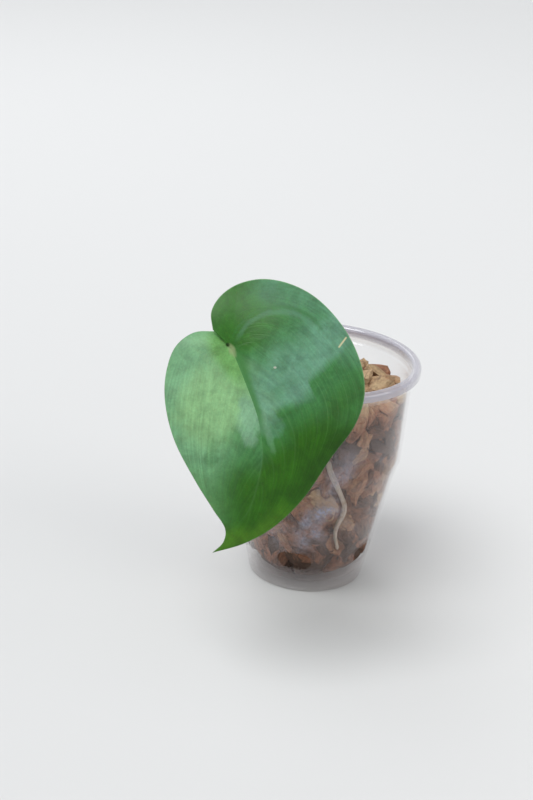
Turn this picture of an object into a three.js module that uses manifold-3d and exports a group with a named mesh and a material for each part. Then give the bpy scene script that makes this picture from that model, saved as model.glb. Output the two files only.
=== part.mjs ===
// Young scindapsus cutting with one heart-shaped leaf, rooted in coarse bark in a clear nursery cup.
// Millimetres, +Z up, +X to the right and +Y away from the side that the leaf faces.
import * as THREE from 'three';
import { mergeVertices } from 'three/addons/utils/BufferGeometryUtils.js';
import Module from 'manifold-3d';

const wasm = await Module();
wasm.setup();

// Free space kept between two pieces that touch in the real plant.
const GAP = 0.3;
const SEED = 2942;
const GOLDEN_ANGLE = Math.PI * (3 - Math.sqrt(5));

// Cup
const CUP_HEIGHT = 87;
const RIM_RADIUS = 37.5;
const MOUTH_RADIUS = 34;
const RIM_DROP = 3.4;
const RIM_THICKNESS = 0.8;
const WALL = 1;
const COLLAR_DEPTH = 6;
const COLLAR_STEP = 0.5;
const SHOULDER_TOP = 50;
const SHOULDER_BOTTOM = 44;
const BAND_RADIUS = 33;
const TAPER_RADIUS = 31.2;
const FOOT_RADIUS = 21.7;
const FOOT_WIDTH = 2.8;
const FOOT_CHAMFER = 0.4;
const FLOOR_UNDERSIDE = 3.4;
const FLOOR_THICKNESS = 1.2;
const CUP_SIDES = 48;
const SLOTS = 5;
const SLOT_WIDTH = 13;
const SLOT_HEIGHT = 7.5;
const SLOT_LEVEL = 14;
const SLOT_DEPTH = 8;
const FIRST_SLOT_ANGLE = -101.5;
const SLOT_END_SIDES = 5;
const DRAIN_RADIUS = 2.5;
const DRAIN_CIRCLE = 11;
const DRAIN_SIDES = 10;

// Growing mix
const MIX_TOP = 76;
const MIX_CROWN = 1.5;
const MIX_FOOT_LEVEL = 10;
const MIX_FOOT_INSET = 5;
const CORE_INSET = 2.6;
const CORE_TOP_INSET = 3;
const MIX_SIDES = 24;
const SIDE_CHIPS = 50;
const TOP_CHIPS = 22;
const SIDE_CHIP_TOP = 74;
const TOP_CHIP_RANGE = 29;
const TOP_CHIP_LEVEL = [74, 76];
const CHIP_LENGTH = [10, 17];
const CHIP_BREADTH = [7, 11];
const CHIP_DEPTH = [4, 6.5];
const CHIP_CORNERS = [0.68, 1.05];
const CHIP_LEAN = 0.4;

// Stem and roots
const STEM_RADIUS = 3;
const STEM_ROUTE = [[2, 6, 38], [0.6, 2.4, 60], [-0.7, -1.2, 82], [-1.6, -3.6, 98]];
const STEM_NODES = [0.34, 0.83];
const NODE_SWELL = 0.8;
const NODE_LENGTH = 0.045;
const STEM_SIDES = 10;
const STEM_STEPS = 20;
const ROOT_RADIUS = 1.15;
const ROOT_WALL_GAP = 0.6;
const ROOT_TAPER = 0.4;
const ROOT_SIDES = 6;
const ROOT_STEPS = 20;
const ROOT_BEND_RISE = 7;
const ROOT_BEND_RADIUS = 16;
// Each root runs along the wall through these places: [angle in degrees, height].
const ROOTS = [
  [[-80, 56], [-72, 47], [-63, 37], [-67, 27], [-61, 18]],
  [[-150, 49], [-157, 38], [-150, 27]],
  [[30, 57], [38, 47], [32, 36], [38, 25]],
  [[112, 51], [101, 38], [112, 26], [105, 17]],
];

// Petiole
const PETIOLE_RADIUS = 1.6;
const PETIOLE_BASE_RADIUS = 2.5;
const GENICULUM_RADIUS = 2.1;
const SHEATH_WING = 1.5;
const SHEATH_CHANNEL = 0.5;
const SHEATH_EDGE_ANGLES = [45, 135];
const SHEATH_EDGE_SPREAD = 20;
// Shares of the petiole's length over which each form comes or goes.
const BASE_ENDS = [0.04, 0.22];
const SHEATH_STARTS = [0.08, 0.24];
const SHEATH_ENDS = [0.72, 0.82];
const GENICULUM_STARTS = [0.84, 0.92];
const PETIOLE_SIDES = 16;
const PETIOLE_STEPS = 26;
const PETIOLE_ROUTE = [
  [-1, -2.3, 87.5], [-2.6, -6.8, 91], [-5.6, -14.5, 98.5], [-11, -27.5, 107.5], [-18, -42, 113.6],
  [-25, -55.5, 115.8], [-30.3, -65, 115.2], [-32.3, -69, 114.8],
];

// Leaf blade: in its own plane +X is to the right, +Y towards the lobes and +Z towards the viewer.
const LEAF_LEAN = 27;
const LEAF_ORIGIN = [-32.2, -69.2, 116.2];
const BLADE_THICKNESS = 0.8;
const MIDRIB_RIDGE = 1.2;
const MIDRIB_HALF_WIDTH = 1.8;
const LEAF_TIP = [-1.4, -68.4];
const MIDRIB = [
  [0.6, -0.9], [5.2, -10.3], [11, -24], [13.1, -35], [12.2, -44.5], [9.4, -54.5], [4.2, -63.6], LEAF_TIP,
];
// Margins from the sinus to the tip. The veins of the leaf's base feed the first share of each one.
const RIGHT_HALF = {
  side: 1,
  fanShare: 0.35,
  fanSteps: 13,
  margin: [
    [-6.2, 6.6], [-6.8, 11], [-4.6, 16.4], [0.8, 20.9], [8.6, 23.3], [16.8, 22.7], [25.4, 19.4],
    [32.8, 13.8], [39.8, 5.2], [44.2, -5.2], [45.4, -14.2], [43, -23.8], [36.2, -34.6], [27, -48.9],
    [17.6, -59.2], [8.6, -64.8], LEAF_TIP,
  ],
};
const LEFT_HALF = {
  side: -1,
  fanShare: 0.24,
  fanSteps: 7,
  margin: [
    [-6.6, 5], [-12.2, 3.8], [-17.6, -1.4], [-20.1, -9], [-20.2, -18.4], [-16.4, -31.6], [-8, -45],
    [-1.7, -53.7], [2.6, -60.2], [2, -64.6], LEAF_TIP,
  ],
};
const MIDRIB_STEPS = 18;
const ACROSS = [0, 0.05, 0.12, 0.24, 0.4, 0.58, 0.76, 0.9, 1];
// Relief: halves rise from the midrib, roll back at the margin, arch lengthwise and wave a little.
const HALF_WIDTH = 32;
const HALF_RISE = 3.2;
const RISE_REACH = 7;
const MARGIN_ROLL = 3.4;
const LENGTH_ARCH = 0.0016;
const ARCH_CENTRE = -24;
const WAVE_HEIGHT = 0.7;
const WAVE_COUNT = 3.5;
const LOBE_OFFSET = 1.1;
const LOBE_SHARE = 0.12;

const radians = THREE.MathUtils.degToRad;
const vector = (point) => new THREE.Vector3(...point);
const UP = new THREE.Vector3(0, 0, 1);

// Repeatable random numbers from 0 to 1.
function seededRandom(seed) {
  let state = seed;
  return () => {
    state = (state + 0x6d2b79f5) | 0;
    let mixed = Math.imul(state ^ (state >>> 15), 1 | state);
    mixed = (mixed + Math.imul(mixed ^ (mixed >>> 7), 61 | mixed)) ^ mixed;
    return ((mixed ^ (mixed >>> 14)) >>> 0) / 4294967296;
  };
}

function between(random, [low, high]) {
  return low + (high - low) * random();
}

// The corners alone of a geometry, each once.
function welded(geometry) {
  geometry.deleteAttribute('normal');
  geometry.deleteAttribute('uv');
  return mergeVertices(geometry, 1e-4);
}

// A closed geometry as a solid that can be joined and cut.
function solidOf(geometry) {
  const { attributes, index } = welded(geometry);
  const vertProperties = new Float32Array(attributes.position.array);
  const triVerts = new Uint32Array(index.array);
  return new wasm.Manifold(new wasm.Mesh({ numProp: 3, vertProperties, triVerts }));
}

// The largest body of a solid as a geometry: loose scraps are dropped and sealed pockets are filled.
function geometryOf(solid) {
  const [body] = solid.decompose().sort((first, second) => second.volume() - first.volume());
  const { vertProperties, triVerts } = body.getMesh();
  const geometry = new THREE.BufferGeometry();
  geometry.setAttribute('position', new THREE.BufferAttribute(vertProperties, 3));
  geometry.setIndex(new THREE.BufferAttribute(triVerts, 1));
  return geometry;
}

// A [radius, height] outline turned round the cup's axis.
function turned(outline, sides) {
  const points = outline.map(([radius, height]) => new THREE.Vector2(radius, height));
  return new THREE.LatheGeometry(points, sides).rotateX(Math.PI / 2);
}

// A bar along a curve, closed at both ends. radiusAt(share of the length, angle) gives its section, and
// an angle of 90 degrees is its upper side. An extra makes it that much larger all round.
function bar(curve, steps, sides, upper, radiusAt, extra = 0) {
  const positions = [];
  const centres = [];
  for (let step = 0; step <= steps; step += 1) {
    const share = step / steps;
    const along = curve.getTangentAt(share);
    const overrun = extra * (Number(step === steps) - Number(step === 0));
    const centre = curve.getPointAt(share).addScaledVector(along, overrun);
    centres.push(centre);
    const upward = upper.clone().addScaledVector(along, -upper.dot(along)).normalize();
    const sideways = new THREE.Vector3().crossVectors(upward, along);
    for (let side = 0; side < sides; side += 1) {
      const angle = (2 * Math.PI * side) / sides;
      const radius = radiusAt(share, angle) + extra;
      const point = centre.clone().addScaledVector(sideways, radius * Math.cos(angle));
      positions.push(...point.addScaledVector(upward, radius * Math.sin(angle)).toArray());
    }
  }
  positions.push(...centres[0].toArray(), ...centres[steps].toArray());
  const firstCentre = (steps + 1) * sides;
  const lastCentre = firstCentre + 1;
  const faces = [];
  for (let side = 0; side < sides; side += 1) {
    const next = (side + 1) % sides;
    for (let step = 0; step < steps; step += 1) {
      const [near, far] = [step * sides, (step + 1) * sides];
      faces.push(near + side, near + next, far + next, near + side, far + next, far + side);
    }
    faces.push(firstCentre, next, side, lastCentre, steps * sides + side, steps * sides + next);
  }
  const geometry = new THREE.BufferGeometry();
  geometry.setAttribute('position', new THREE.Float32BufferAttribute(positions, 3));
  return geometry.setIndex(faces);
}

// The cup's outer radius at a height: tapered foot, shoulder, steeper band, then the collar below the rim.
function outerRadius(height) {
  const levels = [
    [0, FOOT_RADIUS],
    [SHOULDER_BOTTOM, TAPER_RADIUS],
    [SHOULDER_TOP, BAND_RADIUS],
    [CUP_HEIGHT - COLLAR_DEPTH, MOUTH_RADIUS + WALL - COLLAR_STEP],
    [CUP_HEIGHT, MOUTH_RADIUS + WALL],
  ];
  const above = Math.max(levels.findIndex(([level]) => level >= height), 1);
  const [low, lowRadius] = levels[above - 1];
  const [high, highRadius] = levels[above];
  return THREE.MathUtils.mapLinear(height, low, high, lowRadius, highRadius);
}

function innerRadius(height) {
  return outerRadius(height) - WALL;
}

function polar(radius, angle, height) {
  return new THREE.Vector3(radius * Math.cos(angle), radius * Math.sin(angle), height);
}

// Clear cup: foot ring, raised floor, tapered wall with a shoulder, collar and turned-down rim.
function cupGeometry() {
  const floorTop = FLOOR_UNDERSIDE + FLOOR_THICKNESS;
  const collar = CUP_HEIGHT - COLLAR_DEPTH;
  const footInside = FOOT_RADIUS - FOOT_WIDTH;
  const rimInside = RIM_RADIUS - RIM_THICKNESS;
  const outline = [
    [0, FLOOR_UNDERSIDE],
    [footInside, FLOOR_UNDERSIDE],
    [footInside, 0],
    [FOOT_RADIUS - FOOT_CHAMFER, 0],
    [outerRadius(FOOT_CHAMFER), FOOT_CHAMFER],
    [outerRadius(SHOULDER_BOTTOM), SHOULDER_BOTTOM],
    [outerRadius(SHOULDER_TOP), SHOULDER_TOP],
    [outerRadius(collar), collar],
    [outerRadius(CUP_HEIGHT), collar + COLLAR_STEP],
    [outerRadius(CUP_HEIGHT), CUP_HEIGHT - 2 * RIM_THICKNESS],
    [rimInside - COLLAR_STEP, CUP_HEIGHT - 1.5 * RIM_THICKNESS],
    [rimInside, CUP_HEIGHT - RIM_DROP],
    [RIM_RADIUS, CUP_HEIGHT - RIM_DROP],
    [RIM_RADIUS, CUP_HEIGHT - RIM_THICKNESS],
    [RIM_RADIUS - RIM_THICKNESS, CUP_HEIGHT],
    [MOUTH_RADIUS + RIM_THICKNESS, CUP_HEIGHT],
    [MOUTH_RADIUS, CUP_HEIGHT - RIM_THICKNESS],
    [MOUTH_RADIUS, collar + COLLAR_STEP],
    [innerRadius(collar), collar],
    [innerRadius(SHOULDER_TOP), SHOULDER_TOP],
    [innerRadius(SHOULDER_BOTTOM), SHOULDER_BOTTOM],
    [innerRadius(floorTop), floorTop],
    [0, floorTop],
  ];
  let cup = solidOf(turned(outline, CUP_SIDES));
  for (let index = 0; index < SLOTS; index += 1) {
    const angle = radians(FIRST_SLOT_ANGLE + (index * 360) / SLOTS);
    cup = cup.subtract(slotCutter(angle)).subtract(drainCutter(angle + Math.PI / SLOTS));
  }
  return geometryOf(cup);
}

// A bar with round ends that lies across the wall in the direction of the angle.
function slotCutter(angle) {
  const round = SLOT_HEIGHT / 2;
  const half = SLOT_WIDTH / 2 - round;
  const outline = new THREE.Shape();
  outline.absarc(half, 0, round, -Math.PI / 2, Math.PI / 2);
  outline.absarc(-half, 0, round, Math.PI / 2, (3 * Math.PI) / 2);
  const shape = { depth: SLOT_DEPTH, bevelEnabled: false, curveSegments: SLOT_END_SIDES };
  const cutter = new THREE.ExtrudeGeometry(outline, shape);
  cutter.translate(0, 0, -SLOT_DEPTH / 2).rotateX(Math.PI / 2).rotateZ(angle - Math.PI / 2);
  const place = polar(outerRadius(SLOT_LEVEL), angle, SLOT_LEVEL);
  return solidOf(cutter.translate(...place.toArray()));
}

// A round hole through the floor.
function drainCutter(angle) {
  const cutter = new THREE.CylinderGeometry(DRAIN_RADIUS, DRAIN_RADIUS, 4 * FLOOR_THICKNESS, DRAIN_SIDES);
  const place = polar(DRAIN_CIRCLE, angle, FLOOR_UNDERSIDE + FLOOR_THICKNESS / 2);
  return solidOf(cutter.rotateX(Math.PI / 2).translate(...place.toArray()));
}

// The space inside the cup up to a height, drawn in from the walls by an inset and the gap.
function mixSpace(inset, top) {
  const floor = FLOOR_UNDERSIDE + FLOOR_THICKNESS + GAP;
  const radius = (height) => innerRadius(height) - GAP - inset;
  return solidOf(turned([
    [0, floor],
    [radius(floor) - MIX_FOOT_INSET, floor],
    [radius(MIX_FOOT_LEVEL), MIX_FOOT_LEVEL],
    [radius(SHOULDER_BOTTOM), SHOULDER_BOTTOM],
    [radius(SHOULDER_TOP), SHOULDER_TOP],
    [radius(top), top],
    [0, top + MIX_CROWN],
  ], MIX_SIDES));
}

// One bark chip: a block with shifted corners whose broad face looks roughly outward.
function chip(random, centre, outward) {
  const size = [CHIP_LENGTH, CHIP_BREADTH, CHIP_DEPTH].map((range) => between(random, range));
  const block = welded(new THREE.BoxGeometry(...size));
  const { array } = block.attributes.position;
  array.forEach((value, index) => {
    array[index] = value * between(random, CHIP_CORNERS);
  });
  const lean = polar(random(), 2 * Math.PI * random(), 2 * random() - 1).multiplyScalar(CHIP_LEAN);
  const facing = new THREE.Quaternion().setFromUnitVectors(UP, lean.add(outward).normalize());
  block.rotateZ(Math.PI * random()).applyQuaternion(facing).translate(...centre.toArray());
  return solidOf(block);
}

// Bark mix: a core wrapped in chips, trimmed to the cup's inside and holed for the stem and its roots.
function growingMixGeometry() {
  const random = seededRandom(SEED);
  const chips = [];
  for (let index = 0; index < SIDE_CHIPS; index += 1) {
    const angle = index * GOLDEN_ANGLE;
    const height = THREE.MathUtils.mapLinear(index + 0.5, 0, SIDE_CHIPS, MIX_FOOT_LEVEL, SIDE_CHIP_TOP);
    const radius = innerRadius(height) - between(random, CHIP_DEPTH) / 2;
    chips.push(chip(random, polar(radius, angle, height), polar(1, angle, 0)));
  }
  for (let index = 0; index < TOP_CHIPS; index += 1) {
    const radius = TOP_CHIP_RANGE * Math.sqrt((index + 0.5) / TOP_CHIPS);
    const height = between(random, TOP_CHIP_LEVEL);
    chips.push(chip(random, polar(radius, index * GOLDEN_ANGLE, height), UP));
  }
  const core = mixSpace(CORE_INSET, MIX_TOP - CORE_TOP_INSET);
  const heap = wasm.Manifold.union([core, ...chips]);
  const trimmed = heap.intersect(mixSpace(0, CUP_HEIGHT - COLLAR_DEPTH));
  return geometryOf(trimmed.subtract(stemSolid(GAP)).subtract(rootSolids(GAP)));
}

function stemRoute() {
  return new THREE.CatmullRomCurve3(STEM_ROUTE.map(vector));
}

// Stem cutting with a ring at each node, thickened by an extra when it serves as a cutter.
function stemSolid(extra) {
  const radiusAt = (share) => {
    const swell = STEM_NODES.map((node) => Math.exp(-(((share - node) / NODE_LENGTH) ** 2)));
    return STEM_RADIUS + NODE_SWELL * (swell[0] + swell[1]);
  };
  return solidOf(bar(stemRoute(), STEM_STEPS, STEM_SIDES, new THREE.Vector3(0, 1, 0), radiusAt, extra));
}

// One root: from the buried node out to the wall, then down along it, thinner towards its end.
function rootSolid(places, extra) {
  const [firstAngle, firstHeight] = places[0];
  const start = stemRoute().getPointAt(STEM_NODES[0]);
  const bend = polar(ROOT_BEND_RADIUS, radians(firstAngle), firstHeight + ROOT_BEND_RISE);
  const onWall = places.map(([angle, height]) => {
    return polar(innerRadius(height) - ROOT_WALL_GAP - ROOT_RADIUS, radians(angle), height);
  });
  const route = new THREE.CatmullRomCurve3([start, bend, ...onWall]);
  const radiusAt = (share) => ROOT_RADIUS * (1 - ROOT_TAPER * share ** 4);
  const upper = new THREE.Vector3(1, 1, 1).normalize();
  return solidOf(bar(route, ROOT_STEPS, ROOT_SIDES, upper, radiusAt, extra));
}

function rootSolids(extra) {
  return wasm.Manifold.union(ROOTS.map((places) => rootSolid(places, extra)));
}

function rootedStemGeometry() {
  return geometryOf(stemSolid(0).add(rootSolids(0).intersect(mixSpace(0, MIX_TOP))));
}

// Petiole: clasping base, channelled sheath with two wings, and the thicker joint below the blade.
function petioleGeometry() {
  const route = new THREE.CatmullRomCurve3(PETIOLE_ROUTE.map(vector));
  const { smoothstep } = THREE.MathUtils;
  const hump = (angle, centre) => {
    const offset = (angle - radians(centre)) / radians(SHEATH_EDGE_SPREAD);
    return Math.exp(-(offset ** 2));
  };
  const radiusAt = (share, angle) => {
    const base = (PETIOLE_BASE_RADIUS - PETIOLE_RADIUS) * (1 - smoothstep(share, ...BASE_ENDS));
    const joint = (GENICULUM_RADIUS - PETIOLE_RADIUS) * smoothstep(share, ...GENICULUM_STARTS);
    const sheath = smoothstep(share, ...SHEATH_STARTS) * (1 - smoothstep(share, ...SHEATH_ENDS));
    const [left, right] = SHEATH_EDGE_ANGLES.map((edge) => hump(angle, edge));
    const channelled = SHEATH_WING * (left + right) - SHEATH_CHANNEL * hump(angle, 90);
    return PETIOLE_RADIUS + base + joint + sheath * channelled;
  };
  const upper = new THREE.Vector3(0, 1, 1).normalize();
  const petiole = solidOf(bar(route, PETIOLE_STEPS, PETIOLE_SIDES, upper, radiusAt));
  return geometryOf(petiole.subtract(stemSolid(GAP)).subtract(bladeSeat()));
}

// Block in front of the blade's base, which trims the petiole flat just behind it.
function bladeSeat() {
  const size = 6 * GENICULUM_RADIUS;
  const [x, y] = MIDRIB[0];
  const back = archHeight(y) - BLADE_THICKNESS - MIDRIB_RIDGE - GAP;
  const seat = new THREE.BoxGeometry(size, size, size).translate(x, y, back + size / 2);
  seat.rotateX(radians(90 - LEAF_LEAN)).translate(...LEAF_ORIGIN);
  return solidOf(seat);
}

function archHeight(y) {
  return -LENGTH_ARCH * (y - ARCH_CENTRE) ** 2;
}

function planeCurve(points) {
  return new THREE.CatmullRomCurve3(points.map(([x, y]) => new THREE.Vector3(x, y, 0)));
}

// Lines from the midrib to one margin: first those from the leaf's base, then one for each midrib step.
function bladeRays({ fanShare, fanSteps, margin }) {
  const midrib = planeCurve(MIDRIB);
  const edge = planeCurve(margin);
  const rays = [];
  for (let step = 0; step < fanSteps; step += 1) {
    const share = (fanShare * step) / fanSteps;
    rays.push({ along: 0, share, root: midrib.getPointAt(0), rim: edge.getPointAt(share) });
  }
  for (let step = 0; step <= MIDRIB_STEPS; step += 1) {
    const along = step / MIDRIB_STEPS;
    const share = fanShare + (1 - fanShare) * along;
    rays.push({ along, share, root: midrib.getPointAt(along), rim: edge.getPointAt(share) });
  }
  return rays;
}

// The blade's upper face above a place on a ray, and its thickness there.
function bladePoint({ along, share, root, rim }, side, across) {
  const width = root.distanceTo(rim);
  const distance = width * across;
  const breadth = width / HALF_WIDTH;
  const point = root.clone().lerp(rim, across);
  const rise = HALF_RISE * breadth * (1 - Math.exp(-distance / RISE_REACH));
  const roll = MARGIN_ROLL * breadth * across ** 3;
  const wave = WAVE_HEIGHT * breadth * across ** 2 * Math.sin(2 * Math.PI * WAVE_COUNT * share + side);
  const lobe = side * LOBE_OFFSET * across * Math.max(1 - share / LOBE_SHARE, 0);
  point.z = archHeight(point.y) + rise - roll + wave + lobe;
  const ridge = MIDRIB_RIDGE * Math.exp(-((distance / MIDRIB_HALF_WIDTH) ** 2)) * (1 - along ** 2);
  return { point, thickness: BLADE_THICKNESS + ridge };
}

// Blade: one net of triangles for both faces, and a wall round its edge.
function bladeGeometry() {
  const corners = [];
  const numberOf = new Map();
  const triangles = [];
  const corner = ({ point, thickness }) => {
    const key = `${point.x.toFixed(3)} ${point.y.toFixed(3)}`;
    if (!numberOf.has(key)) {
      numberOf.set(key, corners.length);
      corners.push({ point, thickness });
    }
    return numberOf.get(key);
  };
  const addTriangle = (a, b, c) => {
    if (a === b || b === c || c === a) return;
    const [from, first, second] = [a, b, c].map((number) => corners[number].point);
    const turn = (first.x - from.x) * (second.y - from.y) - (first.y - from.y) * (second.x - from.x);
    triangles.push(turn > 0 ? [a, b, c] : [a, c, b]);
  };
  [RIGHT_HALF, LEFT_HALF].forEach((half) => {
    const cornersOf = (ray) => ACROSS.map((across) => corner(bladePoint(ray, half.side, across)));
    const net = bladeRays(half).map(cornersOf);
    for (let ray = 1; ray < net.length; ray += 1) {
      for (let place = 1; place < ACROSS.length; place += 1) {
        addTriangle(net[ray - 1][place - 1], net[ray][place - 1], net[ray][place]);
        addTriangle(net[ray - 1][place - 1], net[ray][place], net[ray - 1][place]);
      }
    }
  });
  return shell(corners, triangles);
}

// A closed shell: the upper net, the same net lower by the thickness, and the wall along open edges.
function shell(corners, triangles) {
  const count = corners.length;
  const positions = corners.flatMap(({ point }) => point.toArray());
  corners.forEach(({ point, thickness }) => positions.push(point.x, point.y, point.z - thickness));
  const faces = [];
  const edges = new Map();
  triangles.forEach((triangle) => {
    const [a, b, c] = triangle;
    faces.push(a, b, c, a + count, c + count, b + count);
    triangle.forEach((from, index) => {
      const to = triangle[(index + 1) % 3];
      if (!edges.delete(`${to} ${from}`)) edges.set(`${from} ${to}`, [from, to]);
    });
  });
  edges.forEach(([from, to]) => faces.push(from, from + count, to, to, from + count, to + count));
  const geometry = new THREE.BufferGeometry();
  geometry.setAttribute('position', new THREE.Float32BufferAttribute(positions, 3));
  return geometry.setIndex(faces);
}

function piece(name, geometry, color, roughness) {
  const mesh = new THREE.Mesh(geometry, new THREE.MeshStandardMaterial({ color, roughness, metalness: 0 }));
  mesh.name = name;
  return mesh;
}

function cupPiece() {
  const cup = piece('cup', cupGeometry(), 0xc9cdd6, 0.15);
  cup.material.transparent = true;
  cup.material.opacity = 0.35;
  return cup;
}

function leafPiece() {
  const leaf = new THREE.Group();
  leaf.rotation.x = radians(90 - LEAF_LEAN);
  leaf.position.set(...LEAF_ORIGIN);
  leaf.add(piece('leaf_blade', bladeGeometry(), 0x4f9350, 0.4));
  return leaf;
}

// The cup's axis is the plant's own; the part's origin is on the ground below the middle of the whole.
const plant = new THREE.Group();
plant.add(cupPiece());
plant.add(piece('growing_mix', growingMixGeometry(), 0x7a5a44, 0.9));
plant.add(piece('rooted_stem', rootedStemGeometry(), 0x6f7f45, 0.6));
plant.add(piece('petiole', petioleGeometry(), 0x6c9a4a, 0.45));
plant.add(leafPiece());

const part = new THREE.Group();
const middle = new THREE.Box3().setFromObject(plant, true).getCenter(new THREE.Vector3());
plant.position.set(-middle.x, -middle.y, 0);
part.add(plant);

export default part;
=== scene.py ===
import math
from functools import reduce

import bmesh
import bpy
import numpy as np
from bpy.props import FloatProperty, FloatVectorProperty, IntProperty, PointerProperty
from mathutils import Matrix, Vector


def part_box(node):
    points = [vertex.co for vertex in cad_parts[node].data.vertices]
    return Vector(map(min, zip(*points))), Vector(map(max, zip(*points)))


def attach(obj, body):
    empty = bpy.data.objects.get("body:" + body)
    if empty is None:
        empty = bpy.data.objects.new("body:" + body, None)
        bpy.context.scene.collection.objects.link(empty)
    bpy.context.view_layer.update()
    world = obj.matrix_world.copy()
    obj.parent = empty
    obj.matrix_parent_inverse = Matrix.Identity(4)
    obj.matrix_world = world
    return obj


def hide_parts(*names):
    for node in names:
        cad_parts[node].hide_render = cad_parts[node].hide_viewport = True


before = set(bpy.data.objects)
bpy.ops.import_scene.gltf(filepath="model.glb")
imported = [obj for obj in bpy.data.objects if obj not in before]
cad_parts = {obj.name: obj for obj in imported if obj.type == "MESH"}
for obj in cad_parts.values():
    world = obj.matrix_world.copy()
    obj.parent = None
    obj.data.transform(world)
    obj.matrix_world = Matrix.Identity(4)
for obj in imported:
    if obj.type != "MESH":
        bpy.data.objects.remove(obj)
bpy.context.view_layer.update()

bl_info = {
    "name": "Potted scindapsus cutting",
    "version": (1, 0, 0),
    "blender": (4, 5, 0),
    "location": "3D View > Sidebar > Scindapsus",
    "description": "Heart-shaped leaf on an arched petiole, rooted in bark in a clear nursery cup",
    "category": "Object",
}

# Lengths here are millimetres, measured from the cup's axis on the ground, +Z up, the leaf towards -Y.
MM = 0.001
SEED = 2942
GOLDEN_ANGLE = math.pi * (3 - math.sqrt(5))
CUP_LOW, CUP_HIGH = (np.array(corner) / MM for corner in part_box("cup"))
AXIS = np.array([*(CUP_LOW + CUP_HIGH)[:2] / 2, 0])

# Cup
CUP_HEIGHT = CUP_HIGH[2]
RIM_RADIUS = (CUP_HIGH - CUP_LOW)[0] / 2
MOUTH_RADIUS = 34
RIM_DROP = 3.4
RIM_THICKNESS = 0.8
WALL = 1
COLLAR_DEPTH = 6
COLLAR_STEP = 0.5
SHOULDER_TOP = 50
SHOULDER_BOTTOM = 44
BAND_RADIUS = 33
TAPER_RADIUS = 31.2
FOOT_RADIUS = 21.7
FOOT_WIDTH = 2.8
FOOT_CHAMFER = 0.4
FLOOR_UNDERSIDE = 3.4
FLOOR_THICKNESS = 1.2
SLOTS = 5
SLOT_WIDTH = 13
SLOT_HEIGHT = 7.5
SLOT_LEVEL = 14
SLOT_DEPTH = 8
FIRST_SLOT_ANGLE = -101.5
DRAIN_RADIUS = 2.5
DRAIN_CIRCLE = 11
CUP_CREASE = 40

# Clear plastic: where it clouds over, and how much it hides there
COLLAR_EASE = 0.6
LIP_EASE = 0.4
FOOT_FOG = (11.5, 8)
MIST_BAND = (14, 24, 50, 70)
FOOT_VEIL = 0.07
COLLAR_VEIL = 0.04
LIP_VEIL = 0.4
GRAZING_VEIL = 0.13
MOST_VEIL = 0.9
LIP_SHADE = 0.78

# Growing mix
MIX_TOP = 76
MIX_CROWN = 1.5
MIX_FOOT_LEVEL = 10
MIX_FOOT_INSET = 5
MIX_GAP = 0.3
CORE_INSET = 3
CORE_TOP_INSET = 3.5
CORE_ROUGHNESS = 0.03
SIDE_CHIP_TOP = 74
TOP_CHIP_RANGE = 30.5
TOP_CHIP_LEVEL = (73.6, 76)
CHIP_SIDES = 12
CHIP_LEVELS = 8
CHIP_SIZES = (0.55, 1.0)
CHIP_SQUARENESS = (4, 9)
CHIP_SKEW = 0.3
CHIP_DENTS = ((2.0, 0.13), (4.5, 0.09))
CHIP_LEAN = 0.9
CHIP_STRAY = 4
CHIP_SINKING = (0.42, 0.8)
CHIP_CREASE = 32
# Heights between which the bark turns paler at the top (dry, and painted light from above), takes painted
# shade, and turns darker towards the bottom
DRY_AND_LIT_BAND = (71, 78)
SHADED_BAND = (50, 62)
LOW_DARK_BAND = (32, 12)

# Stem and roots
STEM_ROUTE = [[2, 6, 38], [0.6, 2.4, 60], [-0.7, -1.2, 82], [-1.6, -3.6, 98]]
STEM_NODES = (0.34, 0.83)
NODE_LENGTH = 0.06
RING_OFFSET = 0.024
RING_LENGTH = 0.007
RING_DEPTH = 0.22
STEM_OVAL = 0.02
STEM_TWIST = 7
STEM_RIBS = 15
STEM_END = 0.7
RIB_DEPTH = 0.03
CUT_END = (0.975, 0.995)
STEM_CLEARANCE = 3.4
ROOT_WALL_GAP = 0.6
ROOT_LEAST_GAP = 0.15
ROOT_END = 1.2
ROOT_TAPER = 0.4
# The roots' radius wavers by sines: the height of each, and how fast it turns along and round the root
ROOT_WAVES = ((0.09, 23, 0), (0.05, 70, 3))
ROOT_AGE = (0.2, 0.6)
ROOT_BEND_RISE = 7
ROOT_BEND_RADIUS = 16
ROOT_GROOVE_REACH = 3.2
# Each root runs along the wall through these places: [angle in degrees, height].
ROOTS = [
    [[-80, 56], [-72, 47], [-63, 37], [-67, 27], [-61, 18]],
    [[-150, 49], [-157, 38], [-150, 27]],
    [[30, 57], [38, 47], [32, 36], [38, 25]],
    [[112, 51], [101, 38], [112, 26], [105, 17]],
]

# Petiole
SHEATH_EDGE_ANGLES = (45, 135)
SHEATH_EDGE_SPREAD = 17
SHEATH_CHANNEL_SPREAD = 24
SHEATH_DRY_SPREAD = 9
PETIOLE_RIBS = 14
BASE_ENDS = (0.04, 0.22)
SHEATH_STARTS = (0.08, 0.24)
SHEATH_ENDS = (0.72, 0.82)
GENICULUM_STARTS = (0.84, 0.92)
PETIOLE_STEPS = 170
PETIOLE_SIDES = 72
PETIOLE_END = 1.6
PETIOLE_ROUTE = [
    [-1, -2.3, 87.5], [-2.6, -6.8, 91], [-5.6, -14.5, 98.5], [-11, -27.5, 107.5], [-18, -42, 113.6],
    [-25, -55.5, 115.8], [-30.3, -65, 115.2], [-32, -68.4, 115.4],
]

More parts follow.
